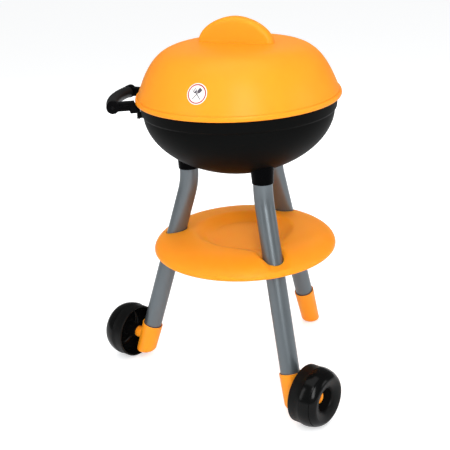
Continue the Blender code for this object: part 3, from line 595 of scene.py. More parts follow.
def on_dome(design):
    """Carries a flat design of (across, up, lift) onto the dome, round the sticker's middle.

    With m = dr/dz at the middle, z = h + up / sqrt(1 + m^2). The radius is
    r = R (1 - ((z - base) / H)^p)^(1/q), the azimuth a + across / r, and the lift goes along the
    dome's normal (1, -dr/dz).
    """
    across, up, lift = design[..., 0], design[..., 1], design[..., 2]

    def reach(height):
        """The dome's radius at a height."""
        share = ((height - DOME_BASE) / DOME_HEIGHT) ** DOME_TOP_POWER
        return DOME_RADIUS * (1 - share) ** (1 / DOME_SIDE_POWER)

    def slope(height):
        """How fast that radius changes with the height."""
        return (reach(height + WELD) - reach(height - WELD)) / (2 * WELD)

    height = STICKER_HEIGHT + up / math.sqrt(1 + slope(STICKER_HEIGHT) ** 2)
    azimuth = STICKER_AZIMUTH + across / reach(height)
    lean = np.hypot(1.0, slope(height))
    return spot(reach(height) + lift / lean, azimuth, height - lift * slope(height) / lean)


def strip(spans, turn, shift, low, high):
    """A flat bar of spans between two lifts, shifted sideways and turned about the design's middle.

    Over a span both the distance and the width change evenly.
    """
    distance = np.concatenate([np.linspace(span[0], span[1], span[4]) for span in spans]) * STICKER_RADIUS
    width = np.concatenate([np.linspace(*span[2:]) for span in spans])
    side = shift + width[:, None] * np.array([-0.5, -0.5, 0.5, 0.5])
    way = distance[:, None] + 0 * side
    lift = np.array([low, high, high, low]) + 0 * side
    return spun(side, way, lift, -turn)


def make_sticker(paper, ring_print, tool_print):
    """White disc with a printed ring and a crossed spatula and fork, each a thin film on the last."""
    radius, film, back = STICKER_RADIUS, STICKER_FILM, STICKER_BACK
    inked, inked_twice = film + STICKER_INK, film + 2 * STICKER_INK
    rows = np.linspace(0.0, radius - film, 12)
    disc = np.c_[rows, np.full(12, film)].tolist() + [(radius, film / 2), (radius, back)]
    disc += np.c_[rows[::-1], np.full(12, back)].tolist()
    inner, outer = [share * radius for share in STICKER_RING]
    ring = [(inner, film), (inner, inked), (outer, inked), (outer, film)]
    sticker = object_of("sticker", (on_dome(turned(disc, 72)), *TUBE))
    fitted(sticker, paper, "lid", "lid_plastic")
    sticker_ring = object_of("sticker_ring", (on_dome(turned(ring, 72)), *RING))
    fitted(sticker_ring, ring_print, "lid", "lid_plastic")
    bars = [strip(part, -TOOL_LEAN, 0.0, film, inked) for part in (TOOL_HANDLE, FORK_COLLAR)]
    bars += [strip(FORK_TINE, -TOOL_LEAN, shift, film, inked) for shift in TINE_PLACES]
    bars += [strip(part, TOOL_LEAN, 0.0, inked, inked_twice) for part in (TOOL_HANDLE, TURNER_BLADE)]
    tools = object_of("sticker_tools", *[(on_dome(bar), *BLOCK) for bar in bars])
    fitted(tools, tool_print, "lid", "lid_plastic")


# Bowl and grate


def bowl_drop(radius, offset=0.0):
    """Height of the bowl's round body at a radius: top - D (1 - (r/R)^p)^(1/p)."""
    share = np.clip(1 - (np.asarray(radius) / (BODY_RADIUS + offset)) ** BODY_POWER, 0.0, 1.0)
    return BODY_TOP - (BODY_DEPTH + offset) * share ** (1 / BODY_POWER)


def bowl_rows(offset, steps):
    """The round body's profile from its top edge down: r = R cos^(2/p) a, drop = D sin^(2/p) a."""
    angle = np.linspace(0.0, math.pi / 2, steps)
    radius = (BODY_RADIUS + offset) * np.cos(angle) ** (2 / BODY_POWER)
    radius[-1] = 0.0
    return np.stack([radius, BODY_TOP - (BODY_DEPTH + offset) * np.sin(angle) ** (2 / BODY_POWER)], -1)


def make_bowl(material):
    """Half-shell with an upright band over a step, an inner ledge, screw pads and two handle lugs."""
    outer_body, inner_body = bowl_rows(0.0, 44), bowl_rows(-BOWL_WALL, 30)[::-1]
    rim = eased(
        [
            inner_body[-1],
            (BODY_RADIUS - BOWL_WALL, LEDGE_HEIGHT),
            (BAND_RADIUS - BOWL_WALL, LEDGE_HEIGHT),
            (MOUTH_RADIUS - BOWL_WALL, MOUTH_HEIGHT),
            (MOUTH_RADIUS, MOUTH_HEIGHT),
            (BAND_RADIUS, BAND_BASE),
            (BODY_RADIUS, BODY_TOP),
            outer_body[1],
        ],
        [0.0, 0.0006, 0.0006, 0.0009, 0.0009, 0.0016, 0.0022, 0.0],
        7,
    )
    profile = np.concatenate([inner_body[:-1], rim[:-1], outer_body[1:]])
    bowl = turned_object("bowl_shell", profile, TURN_STEPS, AXIS_FOOT)
    tools = []
    core = np.concatenate([[(0.0, BODY_TOP)], bowl_rows(-BOWL_WALL / 2, 30)])
    pad_base = float(bowl_drop(SOCKET_PLACE, -BOWL_WALL / 2)) - PAD_SINK
    pad = eased(plug(PAD_RADIUS, pad_base, PAD_TOP), [0, 0.0008, 0, 0], 5)
    for leg, azimuth in AZIMUTHS.items():
        tool = turned_object("pad_" + leg, pad, 40, spot(SOCKET_PLACE, azimuth, 0.0))
        combined(tool, [turned_object("core", core, TURN_STEPS, AXIS_FOOT)], "INTERSECT")
        tools.append(tool)
    band_core = plug(BAND_RADIUS - BOWL_WALL / 2, (BAND_BASE + LEDGE_HEIGHT) / 2, MOUTH_HEIGHT)
    for side, turn in ARM_TURNS.items():
        lug = box_patch(
            (BODY_RADIUS - BOWL_WALL / 2, -ARM_WIDTH / 2, LUG_TOP - LUG_HEIGHT),
            (MOUTH_RADIUS + LUG_REACH, ARM_WIDTH / 2, LUG_TOP),
            LUG_EDGE,
        )
        spin = np.array(Matrix.Rotation(HANDLE_AZIMUTH + turn, 3, "Z"))
        tool = object_of("lug_" + side, (moved(lug @ spin.T, AXIS_FOOT), *BLOCK))
        combined(tool, [turned_object("band_core", band_core, TURN_STEPS, AXIS_FOOT)], "DIFFERENCE")
        tools.append(tool)
    combined(bowl, tools, "UNION")
    fitted(bowl, material, "base", "bowl_plastic", "bowl")


def make_grate(material):
    """Ring and bars of a round-edged section, with a lower cross bar under them."""
    outer = BAND_RADIUS - BOWL_WALL - GRATE_PLAY
    inner = outer - GRATE_RING
    corners = [(outer, GRATE_BASE), (outer, GRATE_TOP), (inner, GRATE_TOP), (inner, GRATE_BASE)]
    ring = eased(corners, [0.0008, 0.0016, 0.0016, 0.0008], 6, closed=True)
    grate = object_of("grill_grate", (moved(turned(ring), AXIS_FOOT), *RING))
    middle, height, half_bar = (outer + inner) / 2, (GRATE_BASE + GRATE_TOP) / 2, GRATE_BAR / 2
    bars = []
    for index in range(-GRATE_BARS_ASIDE, GRATE_BARS_ASIDE + 1):
        place = index * GRATE_PITCH
        half = math.sqrt(middle**2 - (abs(place) + half_bar) ** 2)
        bars.append((place, np.array([half, half_bar, half_bar])))
    bars.append((0.0, np.array([half_bar, middle, GRATE_SPINE / 2])))
    tools = []
    for index, (place, half_size) in enumerate(bars):
        centre = np.array([0.0, place, height])
        block = box_patch(centre - half_size, centre + half_size, GRATE_EDGE)
        tools.append(object_of(f"bar_{index}", (moved(block, AXIS_FOOT), *BLOCK)))
    combined(grate, tools, "UNION")
    fitted(grate, material, "grate", "grate_plastic", "grate")


# Legs, sockets and caps


def leg_slope(leg):
    """Tangent of a leg's lean. The leg bends just under its socket, then runs straight to its spread.

    With a reach R, a drop H and a bend of radius B, half the lean has the tangent
    t = R / (H + sqrt(H^2 + R (R - 2 B))), and the lean has 2t / (1 - t^2).
    """
    reach = SPREADS[leg] - SOCKET_PLACE
    half = reach / (BEND_TOP + math.sqrt(BEND_TOP**2 + reach * (reach - 2 * LEG_BEND)))
    return 2 * half / (1 - half**2)


def leg_point(leg, height):
    """The point of a leg's straight line at a height."""
    return spot(SPREADS[leg] - leg_slope(leg) * height, AZIMUTHS[leg], height)


def leg_way(leg):
    """The way up a leg's straight line."""
    way = leg_point(leg, 1.0) - leg_point(leg, 0.0)
    return way / np.linalg.norm(way)


def make_leg(leg, material):
    """Tube swept down its middle line, outer wall and inner wall in one closed grid."""
    azimuth = AZIMUTHS[leg]
    turn = np.linspace(0.0, math.atan(leg_slope(leg)), 14)
    bend = spot(SOCKET_PLACE + LEG_BEND * (1 - np.cos(turn)), azimuth, BEND_TOP - LEG_BEND * np.sin(turn))
    top = spot(SOCKET_PLACE, azimuth, LEG_TOP)
    low = leg_point(leg, LEG_END)
    share = np.linspace(0.0, 1.0, 26)[1:, None]
    path = np.concatenate([[top, (top + bend[0]) / 2], bend, bend[-1] + (low - bend[-1]) * share])
    outer = swept(path, round_section(LEG_RADIUS, 64), sideways(azimuth))
    inner = swept(path, round_section(LEG_RADIUS - LEG_WALL, 64), sideways(azimuth))[::-1]
    tube = object_of("tube_" + leg, (np.concatenate([outer, inner]), *RING))
    fitted(tube, material, "base", "leg_tube", "leg_" + leg)


def make_socket(leg, material):
    """Socket cup: a wall that ends on the bowl's own surface, a round lower lip and a bore with a roof."""
    steps = 72
    bore, base, lip = LEG_RADIUS + GAP, SOCKET_BASE, SOCKET_BASE + SOCKET_LIP
    corners = [(SOCKET_LOW_RADIUS, lip), (SOCKET_LOW_RADIUS, base), (bore, base), (bore, LEG_TOP)]
    lower = eased(corners, [0.0, 0.0012, 0.0005, 0.0], 7)
    angle = full_turn(steps)
    centre = spot(SOCKET_PLACE, AZIMUTHS[leg], 0.0)

    def circle(radius):
        """Plan points of a circle about the socket's axis."""
        return centre[0] + radius * np.cos(angle), centre[1] + radius * np.sin(angle)

    def under_bowl(x, y):
        """Height of the bowl's outer surface over a plan point, less the gap."""
        return bowl_drop(np.hypot(x - CENTRE[0], y - CENTRE[1]), GAP)

    top = under_bowl(*circle(SOCKET_RADIUS))
    wall = []
    for share in np.linspace(1.0, 0.0, 12):
        plan = circle(SOCKET_LOW_RADIUS + (SOCKET_RADIUS - SOCKET_LOW_RADIUS) * share)
        wall.append(np.stack([*plan, top * share + lip * (1 - share)], -1))
    crown = []
    for radius in np.linspace(0.0, SOCKET_RADIUS, 8)[:-1]:
        plan = circle(radius)
        crown.append(np.stack([*plan, under_bowl(*plan)], -1))
    roof = np.array([(bore, LEG_TOP + GAP), (0.0, LEG_TOP + GAP)])
    hollow = moved(turned(np.concatenate([lower[1:-1], roof]), steps), centre)
    cup = object_of("socket_" + leg, (np.concatenate([crown, wall, hollow]), *TUBE))
    fitted(cup, material, "base", "socket_plastic", "leg_socket_" + leg)


def cap_patch(leg, base):
    """Cap on a leg's end, as one closed grid.

    Its side is a cone about the leg's line: point = foot + s way + (f + k s - inset) circle. A level ring
    at height h has s = (h - (f - inset) c) / (w + k c), with c and w the upright parts of the circle and
    the way. The foot's edge eases in by e (1 - cos b) over the last e (1 - sin b).
    """
    foot, way = leg_point(leg, 0.0), leg_way(leg)
    side = sideways(AZIMUTHS[leg])
    angle = full_turn(CAP_STEPS)[:, None]
    circle = np.cos(angle) * side + np.sin(angle) * np.cross(way, side)
    length = np.linalg.norm(leg_point(leg, CAP_TOP) - foot)
    taper = (CAP_RADIUS - CAP_FOOT_RADIUS) / length

    def square(radius, drop=0.0):
        """A circle square to the leg, at a distance below the mouth."""
        return foot + way * (length - drop) + radius * circle

    def level(height, inset=0.0):
        """The cone's ring at a level height."""
        reach = CAP_FOOT_RADIUS - inset
        s = (height - reach * circle[:, 2:]) / (way[2] + taper * circle[:, 2:])
        return foot + way * s + (reach + taper * s) * circle

    bore = LEG_RADIUS + GAP
    depth = length - np.linalg.norm(leg_point(leg, LEG_END) - foot) + GAP
    lip, lip_drop = CAP_LIP
    inside = [square(0.0, depth), square(bore, depth), square(bore, CAP_BORE_START)]
    inside += [square(LEG_RADIUS + out, drop) for out, drop in CAP_MOUTH_STEPS]
    inside += [square(CAP_RADIUS - lip), square(CAP_RADIUS, lip_drop)]
    upper, lower = inside[-1], level(base + CAP_EDGE)
    sides = [upper + (lower - upper) * share for share in np.linspace(0.0, 1.0, 12)[1:]]
    bend = np.linspace(0.0, math.pi / 2, 9)[1:]
    rounded = [level(base + CAP_EDGE * (1 - math.sin(b)), CAP_EDGE * (1 - math.cos(b))) for b in bend]
    middle = rounded[-1].mean(0)
    floor = [middle + (rounded[-1] - middle) * share for share in (0.6, 0.3, 0.0)]
    return np.array(inside + sides + rounded + floor)


def make_cap(leg, material):
    """Foot cap, with its axle and the axle's slit where it carries a wheel."""
    base = WHEEL_CAP_LIFT if leg in WHEEL_SIDES else 0.0
    cap = object_of("cap_" + leg, (cap_patch(leg, base), *TUBE))
    if leg in WHEEL_SIDES:
        outward = (WHEEL_SIDES[leg], 0.0, 0.0)
        middle = leg_point(leg, WHEEL_RADIUS)
        inner = WHEEL_INNER - middle[0] * WHEEL_SIDES[leg]
        seat = inner + WHEEL_WIDTH - FUNNEL_DEPTH + GAP
        outline = eased(
            [
                (0.0, seat + SNAP_LENGTH),
                (AXLE_RADIUS, seat + SNAP_LENGTH),
                (SNAP_RADIUS, seat + SNAP_CREST),
                (SNAP_RADIUS, seat),
                (AXLE_RADIUS, seat),
                (AXLE_RADIUS, inner - GAP),
                (AXLE_COLLAR, inner - GAP),
                (AXLE_COLLAR, 0.0),
                (0.0, 0.0),
            ],
            [0.0, 0.0022, 0.0010, 0.0004, 0.0002, 0.0002, 0.0007, 0.0, 0.0],
            6,
        )
        place = (middle[0], WHEEL_FORWARD, WHEEL_RADIUS)
        combined(cap, [turned_object("axle_" + leg, outline, 64, place, outward)], "UNION")
        low = leg_point(leg, LEG_END) - leg_way(leg) * GAP
        bore = turned_object("bore_" + leg, plug(LEG_RADIUS + GAP, 0.0, CAP_CUT), 72, low, leg_way(leg))
        half_slit, slit_top = SLIT_WIDTH / 2, seat + SLIT_REACH / 2
        slit = box_patch(
            (-half_slit, -SLIT_REACH, seat - SLIT_DEPTH), (half_slit, SLIT_REACH, slit_top), 0.0002, 2
        )
        slot = object_of("slit_" + leg, (along(slit, place, outward), *BLOCK))
        combined(cap, [bore, slot], "DIFFERENCE")
    fitted(cap, material, "base", "cap_plastic", "foot_cap_" + leg)


# Shelf


def shelf_top(x, y):
    """Height of the shelf's upper face: a flat middle, an elliptic shoulder, a round dish and a gully.

    Shoulder: h = waist + (top - waist) sqrt(1 - t^2), t = (r - flat) / shoulder.
    Valley of the dish towards one leg: L = reach ((1 + cos(a - leg)) / 2)^28.
    Dish: s = clamp((R + L - r) / (slope + L)), height = h + (3s^2 - 2s^3) (top - depth - h).
    Gully to the same leg: its floor f falls from a start, g = clamp((w2 - |v|) / (w2 - w1)), and
    (3g^2 - 2g^3) min(0, f - height) is added.
    """
    radius, off_leg = np.hypot(x, y), np.arctan2(y, x) - AZIMUTHS["right"]
    share = np.clip((radius - SHELF_RADIUS + SHELF_SHOULDER) / SHELF_SHOULDER, 0.0, 1.0)
    height = SHELF_WAIST + (SHELF_TOP - SHELF_WAIST) * np.sqrt(1 - share**2)
    valley = DISH_VALLEY * ((1 + np.cos(off_leg)) / 2) ** DISH_VALLEY_POWER
    dish = np.clip((DISH_RADIUS + valley - radius) / (DISH_SLOPE + valley), 0.0, 1.0)
    height = height + smooth(dish) * (SHELF_TOP - DISH_DEPTH - height)
    outward, across = radius * np.cos(off_leg), radius * np.abs(np.sin(off_leg))
    inner, outer = GULLY_WIDTHS
    gully = np.clip((outer - across) / (outer - inner), 0.0, 1.0) * (outward > 0)
    floor = SHELF_TOP - GULLY_DEPTH - GULLY_FALL * np.maximum(0.0, outward - GULLY_START)
    return height + smooth(gully) * np.minimum(0.0, floor - height)


def make_shelf(material):
    """Dished disc with a broad falling shoulder and three slanted leg holes."""
    steps = 240
    flat = SHELF_RADIUS - SHELF_SHOULDER
    angle = full_turn(steps)
    turn = np.linspace(0.0, math.pi / 2, 60)[1:]
    radius = np.r_[np.linspace(0.0, flat, 50), flat + SHELF_SHOULDER * np.sin(turn)][:, None]
    x, y = radius * np.cos(angle), radius * np.sin(angle)
    top = np.stack([x, y, shelf_top(x, y)], -1)
    turn = np.linspace(0.0, -math.pi / 2, 10)[1:]
    foot = SHELF_RADIUS - SHELF_LOWER_EDGE
    edge_height = SHELF_WAIST + (SHELF_WAIST - SHELF_BASE) * np.sin(turn)
    edge = np.stack([foot + SHELF_LOWER_EDGE * np.cos(turn), edge_height], -1)
    under = np.stack([np.linspace(foot, 0.0, 12)[1:], np.full(11, SHELF_BASE)], -1)
    underside = turned(np.concatenate([edge, under]), steps)
    shelf = object_of("dished_shelf", (moved(np.concatenate([top, underside]), AXIS_FOOT), *TUBE))
    holes = []
    hole = LEG_RADIUS + HOLE_PLAY
    for leg in AZIMUTHS:
        low = leg_point(leg, SHELF_BASE - hole)
        holes.append(turned_object("hole_" + leg, plug(hole, 0.0, HOLE_CUT), 96, low, leg_way(leg)))
    combined(shelf, holes, "DIFFERENCE")
    fitted(shelf, material, "base", "shelf_plastic", "shelf")


# Wheels


def make_wheel(leg, material):
    """Shell wheel: tread band, round shoulder, a face that curves into a funnel, hub tube and open back.

    Shoulder: r = crown + (R - crown) cos^(2/p) b, s = start + (width - start) sin^(2/p) b. The face is
    the same curve with its own power, from the crown in to the funnel.
    """
    width, start = WHEEL_WIDTH, SHOULDER_START
    tread = WHEEL_RADIUS - TREAD_DROP
    floor = width - FUNNEL_DEPTH

    def shoulder(inset, steps):
        """Outer shoulder from its crown to the tread, or the same less a wall."""
        turn = np.linspace(math.pi / 2, 0.0, steps)
        run, rise = np.abs(np.cos(turn)) ** (2 / CROWN_POWER), np.sin(turn) ** (2 / CROWN_POWER)
        radius = CROWN_RADIUS + (WHEEL_RADIUS - CROWN_RADIUS - inset) * run
        return np.stack([radius, start + (width - start - inset) * rise], -1)

    turn = np.linspace(math.pi / 2, 0.0, 14)
    face_radius = CROWN_RADIUS - (CROWN_RADIUS - FUNNEL_RADIUS) * np.sin(turn) ** (2 / FACE_POWER)
    face = np.stack([face_radius, width - FUNNEL_LIP * (1 - np.abs(np.cos(turn)) ** (2 / FACE_POWER))], -1)
    outside = eased(
        [
            (WHEEL_RADIUS, start),
            (WHEEL_RADIUS, TREAD_RAMP[1]),
            (tread, TREAD_RAMP[0]),
            (tread, 0.0),
            (tread - WHEEL_WALL, 0.0),
            (tread - WHEEL_WALL, TREAD_WIDTH),
        ],
        [0.0, 0.0034, 0.0034, 0.0016, 0.0009, 0.0],
        7,
    )
    hub = eased(
        [
            (CROWN_RADIUS, width - WHEEL_WALL),
            (FUNNEL_RADIUS + WHEEL_WALL, width - FUNNEL_LIP - WHEEL_WALL / 2),
            (FUNNEL_BACK, floor - WHEEL_WALL),
            (HUB_RADIUS, floor - WHEEL_WALL),
            (HUB_RADIUS, 0.0),
            (HUB_BORE, 0.0),
            (HUB_BORE, floor),
            (FUNNEL_FOOT, floor),
            face[0],
        ],
        [0.0, 0.003, 0.001, 0.0006, 0.0006, 0.0005, 0.0004, 0.0016, 0.0],
        7,
    )
    inside = shoulder(WHEEL_WALL, 14)[::-1]
    profile = np.concatenate([shoulder(0.0, 26)[:-1], outside[:-1], inside[:-1], hub[:-1], face[:-1]])
    side = WHEEL_SIDES[leg]
    place = (side * WHEEL_INNER, WHEEL_FORWARD, WHEEL_RADIUS)
    grid = along(turned(profile, 120), place, (side, 0.0, 0.0))
    wheel = object_of("rolling_wheel_" + leg, (grid, *RING))
    fitted(wheel, material, "wheel_" + leg, "wheel_plastic", "wheel_" + leg)


# Handle


def knuckle(side):
    """Centre of a knuckle and the way out along its axis, away from the other arm."""
    azimuth = HANDLE_AZIMUTH + ARM_TURNS[side]
    centre = spot(MOUTH_RADIUS + ARM_REACH, azimuth, (BAR_LOW + BAR_TOP) / 2)
    return centre, sideways(azimuth) * math.copysign(1.0, ARM_TURNS[side])


def outline_slab(outline, half, edge, steps=5):
    """A flat outline given a thickness and round edges, as rings at offsets across it.

    Near both faces a ring shrinks towards the middle by e (1 - sin b), at half - e (1 - cos b).
    """
    tangent = np.roll(outline, -1, 0) - np.roll(outline, 1, 0)
    tangent /= np.maximum(np.linalg.norm(tangent, axis=1, keepdims=True), WELD)
    normal = np.stack([tangent[:, 1], -tangent[:, 0]], -1)
    turn = np.linspace(0.0, math.pi / 2, steps)
    rings = [(edge * (1 - math.sin(b)), -half + edge * (1 - math.cos(b))) for b in turn]
    rings += [(inset, -offset) for inset, offset in rings[::-1]]
    slab = [np.c_[outline - normal * inset, np.full(len(outline), offset)] for inset, offset in rings]
    return np.array(slab)


def make_arm(side, material):
    """Handle arm: a root block on the bowl, a bar with two channels in one side, and a round knuckle."""
    azimuth = HANDLE_AZIMUTH + ARM_TURNS[side]
    band_slope = (MOUTH_RADIUS - BAND_RADIUS) / (MOUTH_HEIGHT - BAND_BASE)
    inner_low = MOUTH_RADIUS - band_slope * (MOUTH_HEIGHT - ARM_LOW) + GAP
    inner_top = MOUTH_RADIUS - band_slope * (MOUTH_HEIGHT - ROOT_TOP) + GAP
    reach = MOUTH_RADIUS + ARM_REACH
    meet = math.asin((BAR_TOP - BAR_LOW) / 2 / KNUCKLE_RADIUS)
    turn = np.linspace(-math.pi + meet, math.pi - meet, 40)
    middle = (BAR_LOW + BAR_TOP) / 2
    end = np.stack([reach + KNUCKLE_RADIUS * np.cos(turn), middle + KNUCKLE_RADIUS * np.sin(turn)], -1)
    low_line = [(inner_low, ARM_LOW), (ROOT_REACH, ARM_LOW), (ROOT_REACH + ARM_EASE, BAR_LOW)]
    low = eased([(inner_top, ROOT_TOP), *low_line, end[0]], [0.0, ARM_EASE, 0.0016, 0.0016, 0.0], 6)
    high_line = [(LID_CLEAR, BAR_TOP), (LID_CLEAR, ROOT_TOP)]
    high = eased([end[-1], *high_line, (inner_top, ROOT_TOP)], [0.0, 0.0010, ARM_EASE, 0.0], 5)
    ease = [(inner_top + ARM_EASE, ROOT_TOP), (inner_top - ARM_EASE * band_slope, ROOT_TOP - ARM_EASE)]
    slab = outline_slab(np.concatenate([low[1:], end[1:-1], high[:-1], ease]), ARM_WIDTH / 2, ARM_EDGE)

    def placed(grid):
        """From (along the arm, height, across) to the arm's place on the bowl."""
        return moved(spun(grid[..., 0], -grid[..., 2], grid[..., 1], azimuth), AXIS_FOOT)

    arm = object_of("grip_arm_" + side, (placed(slab), *BLOCK))
    tools = []
    outward = math.copysign(1.0, ARM_TURNS[side])
    depths = (ARM_WIDTH / 2 - CHANNEL_DEPTH, ARM_WIDTH / 2 + CHANNEL_PAST_BAR)
    near, far = sorted(-outward * depth for depth in depths)
    channel_end = reach - KNUCKLE_RADIUS + CHANNEL_PAST_KNUCKLE
    for base, top in CHANNEL_LEVELS:
        channel = box_patch((ROOT_REACH, base, near), (channel_end, top, far), CHANNEL_EDGE, 3)
        tools.append(object_of("channel_" + side, (placed(channel), *BLOCK)))
    centre, way = knuckle(side)
    web = centre + way * KNUCKLE_WEB
    bore = plug(KNUCKLE_BORE, -KNUCKLE_CUT, 0.0)
    tools.append(turned_object("knuckle_bore_" + side, bore, 48, web, way))
    seat = plug(SCREW_BORE, -KNUCKLE_CUT / 2, KNUCKLE_CUT)
    tools.append(turned_object("screw_bore_" + side, seat, 24, web, way))
    combined(arm, tools, "DIFFERENCE")
    fitted(arm, material, "base", "arm_plastic", "handle_arm_" + side)


def make_grip(material):
    """Bowed bar swept along an arc, with eased ends and a stub into each knuckle.

    An arc of half chord c and bow b has the radius (c^2 + b^2) / 2b.
    """
    (first, first_way), (second, second_way) = knuckle("near"), knuckle("far")
    half = np.linalg.norm(second - first) / 2
    bend = (half**2 + GRIP_BOW**2) / (2 * GRIP_BOW)
    out = np.array([math.cos(HANDLE_AZIMUTH), math.sin(HANDLE_AZIMUTH), 0.0])
    across = (second - first) / (2 * half)
    centre = (first + second) / 2 + out * (GRIP_BOW - bend)
    swing = math.asin(half / bend)
    trim = (ARM_WIDTH / 2 + GAP) / bend
    turn = np.linspace(-swing + trim, swing - trim, 48)[:, None]
    path = centre + bend * (out * np.cos(turn) + across * np.sin(turn))
    rod = swept(path, round_section(GRIP_RADIUS, 48), np.array([0.0, 0.0, 1.0]))
    end_radius = GRIP_RADIUS - GRIP_EASE
    steps = [(end_radius, 0.0), (STUB_RADIUS, 0.0), (STUB_RADIUS, STUB_LENGTH), (0.0, STUB_LENGTH)]
    ends = []
    for grid, way in ((rod[0], first_way), (rod[-1], second_way)):
        middle = grid.mean(0)
        stub = [middle + (grid - middle) * (radius / GRIP_RADIUS) + way * reach for radius, reach in steps]
        ends.append(np.array(stub))
    grip = object_of("bowed_grip", (np.concatenate([ends[0][::-1], rod, ends[1]]), *TUBE))
    fitted(grip, material, "base", "grip_plastic", "handle_grip")


# Materials


def feed(tree, node, inputs):
    """Gives a node its inputs by name or number. A socket is linked, and any other value is set."""
    for place, value in inputs.items():
        if isinstance(value, bpy.types.NodeSocket):
            tree.links.new(value, node.inputs[place])
        else:
            node.inputs[place].default_value = value
    return node


def add_node(tree, kind, inputs=None, **settings):
    """A node with its settings made first and its inputs after them."""
    node = tree.nodes.new("ShaderNode" + kind)
    for setting, value in settings.items():
        setattr(node, setting, value)
    return feed(tree, node, inputs or {})


def calculated(tree, operation, *sources):
    """The outcome of an operation on sockets and numbers."""
    return add_node(tree, "Math", dict(enumerate(sources)), operation=operation).outputs[0]


def moulded(
    name,
    colour,
    roughness,
    grain=900.0,
    bump=0.06,
    ripple=0.0,
    subsurface=0.0,
    mottle=0.03,
    specular=0.5,
    metallic=0.0,
):
    """Moulded plastic: fine grain and slow ripples in its bump, faint mottling in colour and roughness."""
    material = bpy.data.materials.new(name)
    material.use_nodes = True
    tree = material.node_tree
    shader = tree.nodes["Principled BSDF"]
    feed(tree, shader, {"IOR": 1.46, "Specular IOR Level": specular, "Metallic": metallic})
    if subsurface:
        feed(tree, shader, {"Subsurface Weight": subsurface, "Subsurface Scale": 0.012})
        feed(tree, shader, {"Subsurface Radius": (1.0, 0.35, 0.08)})
    place = add_node(tree, "TexCoord").outputs["Object"]

    def noise(scale, detail):
        """Noise over the piece's own coordinates."""
        return add_node(tree, "TexNoise", {"Vector": place, "Scale": scale, "Detail": detail}).outputs["Fac"]

    cloud = noise(26.0, 3.0)
    darker = (*[c * (1 - mottle) for c in colour], 1.0)
    lighter = (*[min(c * (1 + mottle), 1.0) for c in colour], 1.0)
    tint = add_node(tree, "Mix", {"A": darker, "B": lighter, "Factor": cloud}, data_type="RGBA")
    levels = {"To Min": roughness - 0.04, "To Max": roughness + 0.04, "Value": cloud}
    gloss = add_node(tree, "MapRange", levels)
    pits = add_node(tree, "Bump", {"Strength": bump, "Distance": 0.0002, "Height": noise(grain, 2.0)})
    if ripple:
        swell = add_node(tree, "Bump", {"Strength": ripple, "Distance": 0.004, "Height": noise(9.0, 1.0)})
        feed(tree, pits, {"Normal": swell.outputs["Normal"]})
    feed(tree, shader, {"Base Color": tint.outputs["Result"], "Roughness": gloss.outputs["Result"]})
    feed(tree, shader, {"Normal": pits.outputs["Normal"]})
    return material


# Where the wheels' plastic is dull. Painted shade makes it black inside the wall's radius and behind the
# funnel's lip, where the hollow lies in shade, and its roughness fades across the tread and from the crown
# inwards
INSIDE_RADIUS = WHEEL_RADIUS - 0.0040
INSIDE_REACH = WHEEL_INNER + WHEEL_WIDTH - FUNNEL_LIP - 0.0008
PAINTED_INSIDE_SHADE = (0.0004, 0.0004, 0.0005, 1.0)
INSIDE_ROUGHNESS = 0.9
TREAD_FADE = (WHEEL_INNER + TREAD_WIDTH - 0.0020, WHEEL_INNER + TREAD_WIDTH + 0.0080)
FACE_FADE = (CROWN_RADIUS - 0.0030, CROWN_RADIUS + 0.0050)
FADE_ROUGHNESS = 0.42


def dulled_with_painted_shade(material):
    """Painted shade: dull black where hypot(y - y0, z - z0) and |x| are inside a wheel's hollow.

    The tread and face are made duller too.
    """
    tree = material.node_tree
    shader = tree.nodes["Principled BSDF"]
    place = add_node(tree, "TexCoord").outputs["Object"]
    hub = (0.0, WHEEL_FORWARD, WHEEL_RADIUS)
    centred = add_node(tree, "VectorMath", {0: place, 1: hub}, operation="SUBTRACT").outputs[0]
    flat = add_node(tree, "VectorMath", {0: centred, 1: (0.0, 1.0, 1.0)}, operation="MULTIPLY").outputs[0]
    reach = add_node(tree, "VectorMath", {0: flat}, operation="LENGTH").outputs["Value"]
    aside = calculated(tree, "ABSOLUTE", add_node(tree, "SeparateXYZ", {0: place}).outputs["X"])
    within = calculated(tree, "LESS_THAN", reach, INSIDE_RADIUS)
    behind = calculated(tree, "LESS_THAN", aside, INSIDE_REACH)
    inside = calculated(tree, "MULTIPLY", within, behind)
    for source, (low, high) in ((aside, TREAD_FADE), (reach, FACE_FADE)):
        fade = {"Value": source, "From Min": low, "From Max": high, "To Min": FADE_ROUGHNESS, "To Max": 0.0}
        dull = add_node(tree, "MapRange", fade, interpolation_type="SMOOTHSTEP").outputs["Result"]
        plain = shader.inputs["Roughness"].links[0].from_socket
        feed(tree, shader, {"Roughness": calculated(tree, "MAXIMUM", dull, plain)})
    # Painted shade: inside the hollow the base colour goes near black and the roughness goes up
    for name, kind, value in (("Base Color", "RGBA", PAINTED_INSIDE_SHADE), ("Roughness", "FLOAT", INSIDE_ROUGHNESS)):
        plain = shader.inputs[name].links[0].from_socket
        change = add_node(tree, "Mix", {"Factor": inside, "A": plain, "B": value}, data_type=kind)
        feed(tree, shader, {name: change.outputs["Result"]})


ORANGE = (1.0, 0.300, 0.013)
BOWL_BLACK = (0.0025, 0.0027, 0.0026)
GRATE_BLACK = (0.010, 0.010, 0.0105)
SOCKET_BLACK = (0.0006, 0.0006, 0.0008)
WHEEL_BLACK = (0.0026, 0.0028, 0.0028)
ARM_BLACK = (0.0012, 0.0011, 0.0014)
GRIP_GREY = (0.0080, 0.0088, 0.0100)
LEG_GREY = (0.158, 0.181, 0.196)

